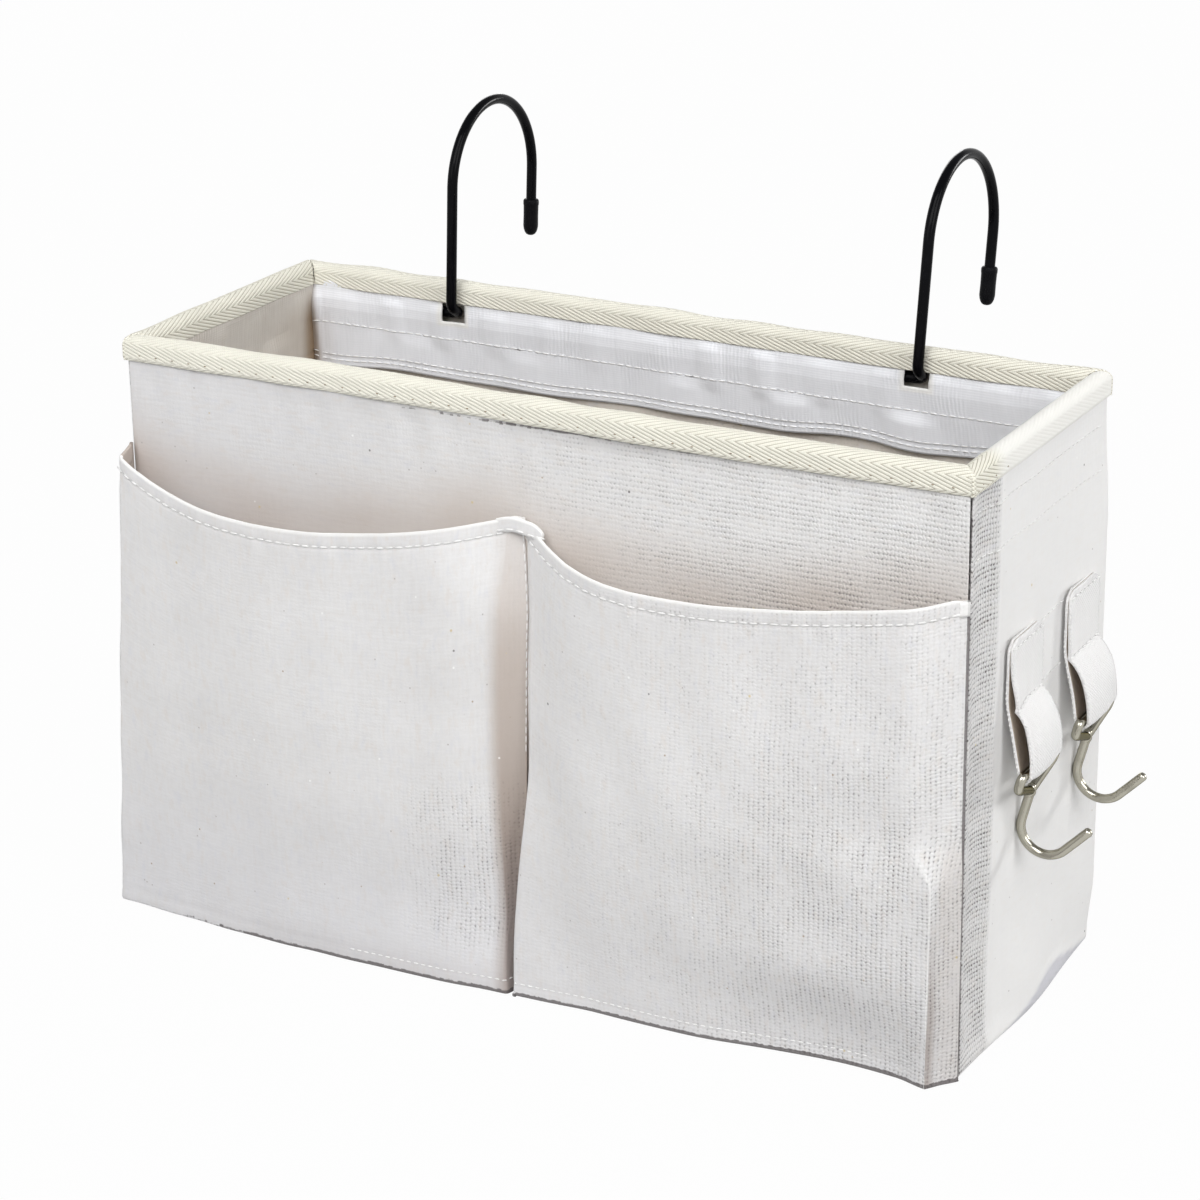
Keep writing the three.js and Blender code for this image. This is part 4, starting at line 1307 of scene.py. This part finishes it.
# Net pocket on the left end

NET_ROUND = 4.0
GUSSET_SEAMS = 8
NET_TAPE = 0.5


def net_tuck(y, z):
    """How far the net's upper corners are drawn in towards the wall."""
    return 3.2 * smooth(12, 0, node_box("net")[1][1] - abs(y)) * smooth(90, 136, z)


def build_net_gusset():
    low, high = node_box("net_gusset")
    side = high[1]
    path = folded(
        [(-side, high[2]), (-side, low[2]), (side, low[2]), (side, high[2])],
        [NET_ROUND, NET_ROUND],
        [80, 60, 80],
    )
    depth = np.linspace(high[0] + 0.1, low[0] - 0.2, 9)
    points = np.empty((len(path), len(depth), 3))
    points[..., 0] = depth[None, :]
    points[..., 1:] = path[:, None, :]
    sag = np.clip(0.5 * ripple(path[:, :1], path[:, 1:] + depth[None, :], 34, 71), -0.4, 0.4)
    hollow = np.sin(np.linspace(0, math.pi, len(depth)))[None, :]
    points = points - facing_ways(points) * (0.5 + sag)[..., None] * hollow[..., None]
    points[..., 0] += net_tuck(path[:, :1], path[:, 1:]) * np.linspace(0, 1, len(depth))[None, :]
    piece = cloth("net_gusset_cloth", points, flat_grid(points), LINEN, THIN_CLOTH)
    width, length = high[0] - low[0], lengths(path)[-1]
    size = (width + GUSSET_SEAMS, length)
    area = width * length * MM * MM
    sewn("net_gusset", size)


def build_net_tape():
    low, high = node_box("net_binding")
    outer, inner = -low[0] - HALF_LENGTH, -high[0] - HALF_LENGTH
    drop = high[2] - low[2]
    section, place, ways = tape_section(outer, inner, high[2] - RIB_HEIGHT, drop, drop)
    along = np.linspace(low[1], high[1], int((high[1] - low[1]) / TAPE_RUN))[None, :]
    relief = tape_relief(along, place[:, None], 1, 75) - RIB_HEIGHT
    out, height = raised_tape(section, ways, relief)
    points = on_side("left", along, out - net_tuck(along, high[2]), height)
    flat = np.stack(np.broadcast_arrays(along, place[:, None]), axis=-1)
    piece = cloth("net_tape", points, flat, TAPE_LOOK, NET_TAPE, marks={"coarse": 0.5})
    size = (high[1] - low[1], place[-1] - place[0])
    sewn("net_binding", size)
    row = nearest(place, place[0] + 2.0)
    stitch_line("seam_stitches", points[row, 6:-6], facing_ways(points)[row, 6:-6])


# Geometry Nodes rules


class Rule(Nodes):
    """A Geometry Nodes tree with named inputs, which turns a piece's mesh into what repeats on it."""

    def __init__(self, name, sizes):
        super().__init__(bpy.data.node_groups.new(name, "GeometryNodeTree"))
        face = self.tree.interface
        face.new_socket("Geometry", in_out="INPUT", socket_type="NodeSocketGeometry")
        for size in sizes:
            face.new_socket(size, in_out="INPUT", socket_type="NodeSocketFloat")
        face.new_socket("Material", in_out="INPUT", socket_type="NodeSocketMaterial")
        face.new_socket("Geometry", in_out="OUTPUT", socket_type="NodeSocketGeometry")
        self.start = self.node("NodeGroupInput")

    def size(self, name):
        return self.start.other(name)

    def end(self, made):
        real = self.node("GeometryNodeRealizeInstances", {}, {"Geometry": made})
        even = self.node("GeometryNodeSetShadeSmooth", {}, {"Geometry": real})
        dressed = {"Geometry": even, "Material": self.size("Material")}
        look = self.node("GeometryNodeSetMaterial", {}, dressed)
        self.node("NodeGroupOutput", {}, {"Geometry": look})

    def spaced(self, line, pitch):
        """Points along a line, a pitch apart."""
        sockets = {"Curve": line, "Length": pitch}
        return self.node("GeometryNodeResampleCurve", {"mode": "LENGTH"}, sockets)

    def grow(self, name, mesh, sizes):
        """The piece that the rule makes of a mesh, as a plain mesh."""
        piece = placed(name, mesh)
        modifier = piece.modifiers.new("rule", "NODES")
        modifier.node_group = self.tree
        for socket in self.tree.interface.items_tree:
            if socket.in_out == "INPUT" and socket.name in sizes:
                modifier[socket.identifier] = sizes[socket.name]
        shown = piece.evaluated_get(bpy.context.evaluated_depsgraph_get())
        made = bpy.data.meshes.new_from_object(shown)
        piece.modifiers.remove(modifier)
        piece.data = made
        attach(piece, BOX)
        return piece


def stitch_rule():
    """Short rounded stitches along a line, each lying the way of its line on the cloth."""
    rule = Rule("stitches", ["Pitch", "Length", "Diameter"])
    line = rule.node("GeometryNodeMeshToCurve", {}, {"Mesh": rule.start})
    spaced = rule.spaced(line, rule.size("Pitch"))
    tangent = rule.node("GeometryNodeInputTangent")
    out = rule.node("GeometryNodeInputNamedAttribute", {"data_type": "FLOAT_VECTOR"}, {"Name": "out"})
    lying = rule.node("FunctionNodeAlignRotationToVector", {"axis": "X"}, {"Vector": tangent})
    facing = rule.node(
        "FunctionNodeAlignRotationToVector",
        {"axis": "Z", "pivot_axis": "X"},
        {"Rotation": lying, "Vector": out},
    )
    bead = rule.node("GeometryNodeMeshUVSphere", {}, {"Segments": 6, "Rings": 5, "Radius": 0.5})
    scale = rule.vector(rule.size("Length"), rule.size("Diameter"), rule.size("Diameter"))
    sewn_on = rule.node(
        "GeometryNodeInstanceOnPoints",
        {},
        {"Points": spaced, "Instance": bead, "Rotation": facing, "Scale": scale},
    )
    rule.end(sewn_on)
    return rule


def lines_mesh(name, lines):
    """A mesh of the lines' edges, with the way that the cloth faces at each point."""
    points = np.concatenate([line for line, _ in lines])
    ways = np.concatenate([way for _, way in lines])
    edges = []
    first = 0
    for line, _ in lines:
        edges += [(first + i, first + i + 1) for i in range(len(line) - 1)]
        first += len(line)
    mesh = bpy.data.meshes.new(name)
    mesh.from_pydata((points * MM).tolist(), edges, [])
    out = mesh.attributes.new("out", "FLOAT_VECTOR", "POINT")
    out.data.foreach_set("vector", ways.astype(np.float32).ravel())
    return mesh


def net_rule():
    """Zigzag threads side by side, each second one turned round, so that they meet at their knots."""
    rule = Rule("net", ["Height", "Pitch", "Knot Pitch", "Thread"])
    top = rule.vector(0.0, 0.0, rule.size("Height"))
    line = rule.node("GeometryNodeCurvePrimitiveLine", {}, {"End": top})
    spaced = rule.spaced(line, rule.size("Knot Pitch") * 0.25)
    index = rule.node("GeometryNodeInputIndex")
    swing = rule.math("SINE", index * (math.pi / 2)) * rule.size("Pitch") * 0.53
    sideways = rule.vector(0.0, swing, 0.0)
    zigzag = rule.node("GeometryNodeSetPosition", {}, {"Geometry": spaced, "Offset": sideways})
    round_thread = {"Resolution": 5, "Radius": rule.size("Thread") * 0.5}
    ring = rule.node("GeometryNodeCurvePrimitiveCircle", {}, round_thread)
    along = {"Curve": zigzag, "Profile Curve": ring, "Fill Caps": True}
    strand = rule.node("GeometryNodeCurveToMesh", {}, along)
    turn = rule.vector(0.0, 0.0, rule.math("MODULO", index, 2.0) * math.pi)
    strands = rule.node(
        "GeometryNodeInstanceOnPoints",
        {},
        {"Points": rule.start, "Instance": strand, "Rotation": turn},
    )
    rule.end(strands)
    return rule


NET_PITCH = 2.6
NET_KNOT = 4.4
NET_STRING = 0.5
NET_BELLY = 1.6
NET_FILL = 0.55
NET_INSET = 0.4
NET_FOOT = 0.6
NET_HEADROOM = 2


def build_net():
    low, high = node_box("net")
    ys = np.arange(low[1] + NET_PITCH / 2, high[1], NET_PITCH)
    feet = np.array([(low[0] + NET_INSET, y, low[2] + NET_FOOT) for y in ys])
    mesh = bpy.data.meshes.new("net_feet")
    mesh.from_pydata((feet * MM).tolist(), [], [])
    height = high[2] - low[2] - NET_HEADROOM
    sizes = {"Height": height * MM, "Pitch": NET_PITCH * MM, "Knot Pitch": NET_KNOT * MM,
             "Thread": NET_STRING * MM, "Material": NET_THREAD}
    piece = net_rule().grow("net_threads", mesh, sizes)
    co = np.empty(len(piece.data.vertices) * 3, np.float32)
    piece.data.vertices.foreach_get("co", co)
    co = co.reshape(-1, 3)
    y, z = co[:, 1] / MM, co[:, 2] / MM
    across = np.cos(np.clip(y / high[1], -1, 1) * math.pi / 2)
    upright = np.sin(np.clip(z / high[2], 0, 1) * math.pi)
    co[:, 0] += (net_tuck(y, z) - NET_BELLY * (across * upright)) * MM
    piece.data.vertices.foreach_set("co", co.ravel())
    piece.data.update()
    width = high[1] - low[1]
    area = NET_FILL * width * height * MM * MM
    sewn("net", (width, height))


build_net_gusset()
build_net()
build_net_tape()

# Straps on the right end

BAR_JOINTS = {"front": "side_hook_front_swing", "rear": "side_hook_rear_swing"}
SIDE_WIRE = 3.0
STRAP_STEM = 20.0
STRAP_CORNER = 4.5
STRAP_LIFTS = {"front": 2.2, "rear": 0.4}


def build_strap(place, seed):
    """A band that goes down the wall, round the hook's bar and up again over itself."""
    low, high = node_box(f"strap_{place}")
    bar = joint_place(BAR_JOINTS[place])
    loop = high[0] - bar[0]
    stem = high[2] - STRAP_STEM
    front = low[0] + 2.0
    down = folded([(low[0], high[2]), (low[0], stem), (bar[0] - loop, bar[2])], [30], [8, 8], 8)
    turn = np.linspace(math.pi, 2 * math.pi, 14)[1:-1]
    around = np.column_stack([bar[0] + loop * np.cos(turn), bar[2] + loop * np.sin(turn)])
    t = np.linspace(0, 1, 22)[:, None]
    waist = [bar[0] + loop + 0.4, stem - 9]
    bulge = curve(*np.array([[bar[0] + loop, bar[2]], waist, [front, stem - 2]]), t)
    up = np.column_stack([np.full(20, front), np.linspace(stem - 2, high[2], 21)[1:]])
    path = np.concatenate([down, around, bulge, up])
    half_way = len(path) // 2
    half = (high[1] - low[1]) / 2
    from_end = np.minimum(lengths(path), lengths(path)[-1] - lengths(path))
    corner = np.clip(STRAP_CORNER - from_end, 0, STRAP_CORNER)
    width = half - STRAP_CORNER + np.sqrt(np.maximum(STRAP_CORNER ** 2 - corner ** 2, 0.4))
    across = np.linspace(-1, 1, 25)
    points = np.empty((len(path), len(across), 3))
    points[..., 0] = path[:, :1]
    points[..., 1] = bar[1] + across[None, :] * width[:, None]
    points[..., 2] = path[:, 1:]
    free = smooth(0, 16, from_end - STRAP_STEM)[:, None]
    curl = 0.5 * across[None, :] ** 4 + 0.25 * ripple(across[None, :] * half, path[:, 1:], 22, seed)
    points = points - facing_ways(points) * (np.clip(curl, -0.1, 0.7) * free)[..., None]
    lifted = STRAP_LIFTS[place] * smooth(0.1, -1, across)[None, :] * bump(path[:, 1:], stem - 1, 8)
    points[..., 0] += lifted * (np.arange(len(path)) > half_way)[:, None]
    stitch_rows = [half_way + nearest(path[half_way:, 1], z) for z in (high[2] - 2.2, stem - 1.5)]
    for row in stitch_rows:
        points[row, :, 0] -= 0.25
    piece = cloth(f"{place}_strap", points, flat_grid(points), WEBBING, STRAP, WEBBING_INSIDE_SHADED)
    size = (high[1] - low[1], lengths(path)[-1])
    sewn(f"strap_{place}", size)
    ways = facing_ways(points)
    for row in stitch_rows:
        stitch_line("seam_stitches", points[row, 1:-1] + [0.2, 0, 0], ways[row, 1:-1])
    for column in (0, -1):
        stitch_line("edge_stitches", points[6:-6, column] - 0.25 * ways[6:-6, column], ways[6:-6, column])


build_strap("front", 81)
build_strap("rear", 83)

# Wire

DOME = 0.7


def swept(points, radii, sides):
    """Rings of points round a line, closed at both ends, and their faces."""
    points = np.asarray(points, float)
    ways = unit(np.gradient(points, axis=0))
    side = np.cross(ways[0], [0.31, 0.52, 0.79])
    rings = []
    for way, point, radius in zip(ways, points, radii):
        side = unit(side - way * (side @ way))
        other = np.cross(way, side)
        angle = np.arange(sides) * 2 * math.pi / sides
        rings.append(point + radius * (np.cos(angle)[:, None] * side + np.sin(angle)[:, None] * other))
    count = len(rings)
    index = np.arange(count * sides).reshape(count, sides)
    after = np.roll(index, -1, axis=1)
    bands = np.stack([index[:-1], after[:-1], after[1:], index[1:]], axis=-1).reshape(-1, 4)
    return np.concatenate(rings), [*bands, index[0][::-1], index[-1]]


def round_ends(points, radius):
    """A line and radii for a wire whose two ends are domed."""
    points = np.asarray(points, float)
    first, last = unit(points[0] - points[1]), unit(points[-1] - points[-2])
    turn = np.radians([78, 55, 30])
    head = [points[0] + first * radius * DOME * math.sin(t) for t in turn]
    tail = [points[-1] + last * radius * DOME * math.sin(t) for t in turn[::-1]]
    small = radius * np.cos(turn)
    radii = np.concatenate([small, np.full(len(points), radius), small[::-1]])
    return np.concatenate([head, points, tail]), radii


def straight(start, end, spacing):
    """Points along a straight run of wire, without its first one."""
    run = end - start
    count = max(int(np.linalg.norm(run) / spacing), 1)
    return [start + run * t / count for t in range(1, count + 1)]


def bent(corners, bends, spacing=2.4):
    """A wire of straight runs, with each corner rounded over its bend length."""
    corners = [np.array(corner, float) for corner in corners]
    line = [corners[0]]
    for i, bend in enumerate(bends):
        before, corner, after = corners[i:i + 3]
        enter = corner + unit(before - corner) * bend
        leave = corner + unit(after - corner) * bend
        line += straight(line[-1], enter, spacing)[:-1]
        line += [curve(enter, corner, leave, t) for t in np.linspace(0, 1, 9)]
    line += straight(line[-1], corners[-1], spacing)
    return np.array(line)


def turned(points, axis, angle, place):
    """Points turned about an axis through the origin, then moved to their place."""
    turn = np.array(Matrix.Rotation(angle, 3, axis))
    return np.asarray(points) @ turn.T + place


def join_parts(parts):
    """Several (points, faces) as one."""
    points, faces = [], []
    first = 0
    for spots, cells in parts:
        points.append(spots)
        faces += [np.asarray(face) + first for face in cells]
        first += len(spots)
    return np.concatenate(points), faces


def wire_piece(name, body, parts, look, node):
    """A hard piece that moves with its body and stands for a node."""
    points, faces = join_parts(parts)
    mesh, _ = plain_mesh(name, points, faces, look)
    piece = add_object(name, mesh, body)
    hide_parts(node)


# Bed-rail hooks: toe, foot, leg, arch and tip of one bent wire, with a rubber cap on the tip

RAIL_WIRE = 3.6
TOE_LENGTH = 18.0
TOE_BEND = 4.0
FOOT_REACH = 6.8
FOOT_RISE = 3.9
FOOT_BEND = 2.5
LEG_LENGTH = 41.0
LEG_LEAN = math.radians(4.2)
ARCH_RADIUS = 27.4
TIP_LENGTH = 20.0
TIP_LEAN = math.radians(4.5)
HOOK_TILTS = {"left": 0.0, "right": math.radians(5.3)}
CAP_DIAMETER = 5.3
CAP_LENGTH = 13.0
CAP_DEPTH = 9.0
CAP_SKIN = 0.25
RAIL_FACETS = 18
CAP_FACETS = 24


def rail_hook_route():
    """The hook about its toe's axis, with the toe along -X and the arch over +Y, and its tip's way."""
    ankle = np.array([0, -FOOT_REACH, FOOT_RISE])
    leg_way = np.array([0, math.sin(LEG_LEAN), math.cos(LEG_LEAN)])
    leg_top = ankle + leg_way * LEG_LENGTH
    start = bent([(-TOE_LENGTH, 0, 0), (0, 0, 0), ankle, leg_top], [TOE_BEND, FOOT_BEND])
    centre = leg_top + ARCH_RADIUS * np.array([0, math.cos(LEG_LEAN), -math.sin(LEG_LEAN)])
    angle = np.linspace(math.pi - LEG_LEAN, -TIP_LEAN, 72)
    arch = centre + ARCH_RADIUS * np.column_stack([0 * angle, np.cos(angle), np.sin(angle)])
    tip_way = np.array([0, -math.sin(TIP_LEAN), -math.cos(TIP_LEAN)])
    tip = [arch[-1] + tip_way * reach for reach in np.linspace(0, TIP_LENGTH, 8)[1:]]
    return np.concatenate([start, arch[1:], tip]), arch[-1], tip_way


def build_rail_hook(side):
    """One hook's wire, turned to its tilt about its toe, and the cap on its tip."""
    place = joint_place(HOOK_JOINTS[side])
    tilt = -HOOK_TILTS[side]
    route, tip_start, tip_way = rail_hook_route()
    line, radii = round_ends(turned(route, "X", tilt, place), RAIL_WIRE / 2)
    body = f"rail_hook_{side}"
    wire = swept(line, radii, RAIL_FACETS)
    wire_piece(f"{side}_rail_hook_wire", body, [wire], BLACK_COAT, body)
    end = tip_start + tip_way * (TIP_LENGTH + CAP_LENGTH - CAP_DEPTH + CAP_SKIN)
    outer, bore = CAP_DIAMETER / 2, RAIL_WIRE / 2 + 0.05
    dome = [(0.0, 0.25), (0.12, 0.95), (0.5, 1.6), (1.2, 2.1), (2.2, 2.45)]
    sleeve = [(3.4, outer), (7.0, outer - 0.05), (CAP_LENGTH - 2.4, outer)]
    lip = [(CAP_LENGTH - 1.9, outer + 0.12), (CAP_LENGTH - 0.7, outer + 0.12)]
    mouth = [(CAP_LENGTH - 0.2, outer - 0.1), (CAP_LENGTH, outer - 0.4), (CAP_LENGTH, bore)]
    profile = dome + sleeve + lip + mouth
    axis = np.array([end - tip_way * reach for reach, _ in profile])
    axis[-1] += tip_way * 0.05
    skin = swept(turned(axis, "X", tilt, place), [radius for _, radius in profile], CAP_FACETS)
    wire_piece(f"{side}_hook_cap", body, [skin], RUBBER, f"rail_hook_cap_{side}")


build_rail_hook("left")
build_rail_hook("right")

# Side hooks: a ring as wide as the strap, welded to a J

RING_SIDE_GAP = 0.8
RING_SIDE = 4.5
RING_HEIGHT = 10.5
RING_CORNER = 1.6
SHANK_LENGTH = 10.5
CROOK_RADIUS = 8.5
CROOK_SWEEP = math.radians(150)
CROOK_TIP = 11.0
REST_GAP = 0.4
SIDE_FACETS = 16


def build_side_hook(place):
    """One hook that leans from its bar until its crook rests near the wall."""
    bar = joint_place(BAR_JOINTS[place])
    low, high = node_box(f"strap_{place}")
    half_bar = (high[1] - low[1]) / 2 + RING_SIDE_GAP + SIDE_WIRE / 2
    apex = (0, 0, -RING_HEIGHT)
    left_side = [(0, half_bar, -RING_SIDE), (0, half_bar, 0)]
    right_side = [(0, -half_bar, 0), (0, -half_bar, -RING_SIDE)]
    ring = bent([apex, *left_side, *right_side, apex], [RING_CORNER] * 4, 1.5)
    turn = np.linspace(0, CROOK_SWEEP, 40)
    crook_top = -RING_HEIGHT - SHANK_LENGTH
    crook_x, crook_z = CROOK_RADIUS * (1 - np.cos(turn)), crook_top - CROOK_RADIUS * np.sin(turn)
    crook = np.column_stack([crook_x, 0 * turn, crook_z])
    tip_way = np.array([math.sin(CROOK_SWEEP), 0, -math.cos(CROOK_SWEEP)])
    tip = [crook[-1] + tip_way * reach for reach in np.linspace(0, CROOK_TIP, 8)[1:]]
    shank = [(0, 0, z) for z in np.linspace(1.4 - RING_HEIGHT, crook_top, 8)[:-1]]
    jay = np.concatenate([shank, crook, tip])
    weld = np.array([(0, 0, z) for z in np.linspace(1.6, -2.6, 9) - RING_HEIGHT])
    bead = SIDE_WIRE / 2 * (0.25 + 0.95 * np.sqrt(np.sin(np.linspace(0.05, math.pi - 0.05, 9))))
    lean = math.asin((bar[0] - HALF_LENGTH - SIDE_WIRE / 2 - REST_GAP) / (RING_HEIGHT + SHANK_LENGTH))
    parts = []
    for line, radii in (round_ends(ring, SIDE_WIRE / 2), round_ends(jay, SIDE_WIRE / 2), (weld, bead)):
        parts.append(swept(turned(line, "Y", lean, bar), radii, SIDE_FACETS))
    body = f"side_hook_{place}"
    wire_piece(f"{place}_side_hook_wire", body, parts, NICKEL, body)


build_side_hook("front")
build_side_hook("rear")

# Stitch lines that show outside the walls, where the facings are sewn on


def wall_stitches(side, heights, columns):
    """Lines along a wall at some heights, over the given columns of its grid."""
    points = walls[side]
    ways = facing_ways(points)
    middle = points[:, points.shape[1] // 2, 2]
    for z in heights:
        row = nearest(middle, z)
        stitch_line("fine_stitches", points[row, columns], ways[row, columns])


between_seams = slice(14, -14)
wall_stitches("right", (182.6, 168.2), between_seams)
wall_stitches("left", (182.6, 168.2), between_seams)

# The lines that hold the straps go on across the wall between them
half_way_up = walls["right"][100]
between_straps = (half_way_up[:, 1] > -2) & (half_way_up[:, 1] < 24)
wall_stitches("right", (132.0, 112.0), between_straps)
wall_stitches("back", (181.0, 169.0), between_seams)

sewing = stitch_rule()
for kind, lines in seams.items():
    pitch, length, diameter, yarn = STITCHES[kind]
    sizes = {"Pitch": pitch * MM, "Length": length * MM, "Diameter": diameter * MM, "Material": yarn}
    sewing.grow(kind, lines_mesh(kind, lines), sizes)

# The board and the rim wire keep their own solids, with a finish

for node, look in (("base_board", BOARD), ("rim_wire", STEEL)):
    part = frame["nodes"][node]
    part.data.materials.clear()
    part.data.materials.append(look)

# Camera

VIEW_AZIMUTH = math.radians(28.77)
VIEW_ELEVATION = math.radians(20.76)
VIEW_ROLL = math.radians(-0.82)
VIEW_DISTANCE = 1151.8
VIEW_TARGET = Vector((-4.07, 0, 114.64))
LENS = 104.55
SENSOR = 36


def place_camera():
    data = bpy.data.cameras.new("camera")
    data.lens = LENS
    data.sensor_width = SENSOR
    level = Vector((math.sin(VIEW_AZIMUTH), -math.cos(VIEW_AZIMUTH), 0)) * math.cos(VIEW_ELEVATION)
    back = level + Vector((0, 0, math.sin(VIEW_ELEVATION)))
    right = Vector((0, 0, 1)).cross(back).normalized()
    up = back.cross(right)
    across = right * math.cos(VIEW_ROLL) + up * math.sin(VIEW_ROLL)
    upright = up * math.cos(VIEW_ROLL) - right * math.sin(VIEW_ROLL)
    place = Matrix((across, upright, back)).transposed().to_4x4()
    place.translation = (VIEW_TARGET + back * VIEW_DISTANCE) * MM
    camera = placed("camera", data)
    camera.matrix_world = place
    bpy.context.scene.camera = camera


place_camera()

# Floor, light and world


def seen_directly(tree):
    """1 for what the camera sees, also in a mirror or through glass."""
    path = tree.node("ShaderNodeLightPath")
    either = tree.math("MAXIMUM", path.other("Is Camera Ray"), path.other("Is Glossy Ray"))
    return tree.math("MAXIMUM", either, path.other("Is Transmission Ray"))


FLOOR_GLOW = 0.975
FLOOR_HALF = 4000.0
FLOOR_TOP = -0.3


def build_floor():
    look = Look("floor")
    matt = look.node("ShaderNodeBsdfDiffuse", {}, {"Color": (0.5, 0.5, 0.5, 1)})
    glow = look.node("ShaderNodeEmission", {}, {"Color": (1, 1, 1, 1), "Strength": 1.0})
    share = seen_directly(look) * FLOOR_GLOW
    mixed = look.node("ShaderNodeMixShader", {}, {0: share, 1: matt, 2: glow})
    look.node("ShaderNodeOutputMaterial", {}, {"Surface": mixed})
    corners = np.array([(-1, -1), (1, -1), (1, 1), (-1, 1)]) * FLOOR_HALF
    corners = np.column_stack([corners, np.full(4, FLOOR_TOP)])
    mesh, _ = plain_mesh("floor", corners, [np.arange(4)], look.material)
    placed("floor", mesh)


LAMPS = {
    "key": {"place": (2.0, -0.6, 1.3), "size": 1.4, "power": 25},
    "fill": {"place": (-0.6, -2.1, 1.4), "size": 1.6, "power": 13},
    "high": {"place": (0.3, -1.5, 1.9), "size": 1.6, "power": 35},
    "side": {"place": (1.5, 2.1, 0.4), "size": 0.6, "power": 19},
    "rear": {"place": (-1.6, 2.2, 0.9), "size": 1.4, "power": 22},
}
AMBIENT = 0.16


def build_light():
    for name, lamp in LAMPS.items():
        data = bpy.data.lights.new(name, "AREA")
        data.size = lamp["size"]
        data.energy = lamp["power"]
        light = placed(name, data)
        light.location = lamp["place"]
        aim = Vector((0, 0, 0.1)) - light.location
        light.rotation_euler = aim.to_track_quat("-Z", "Y").to_euler()
    world = bpy.data.worlds.new("world")
    world.use_nodes = True
    world.node_tree.nodes.clear()
    tree = Nodes(world.node_tree)
    way = tree.node("ShaderNodeSeparateXYZ", {}, {0: tree.node("ShaderNodeTexCoord")})
    wall = 1 - tree.step(way.other("Z"), 0.25, 0.65) * 0.8
    strength = seen_directly(tree) * wall * (1 - AMBIENT) + AMBIENT
    sky = tree.node("ShaderNodeBackground", {}, {"Color": (1, 1, 1, 1), "Strength": strength})
    tree.node("ShaderNodeOutputWorld", {}, {"Surface": sky})
    bpy.context.scene.world = world


build_floor()
build_light()
bpy.context.scene.view_settings.view_transform = "Standard"
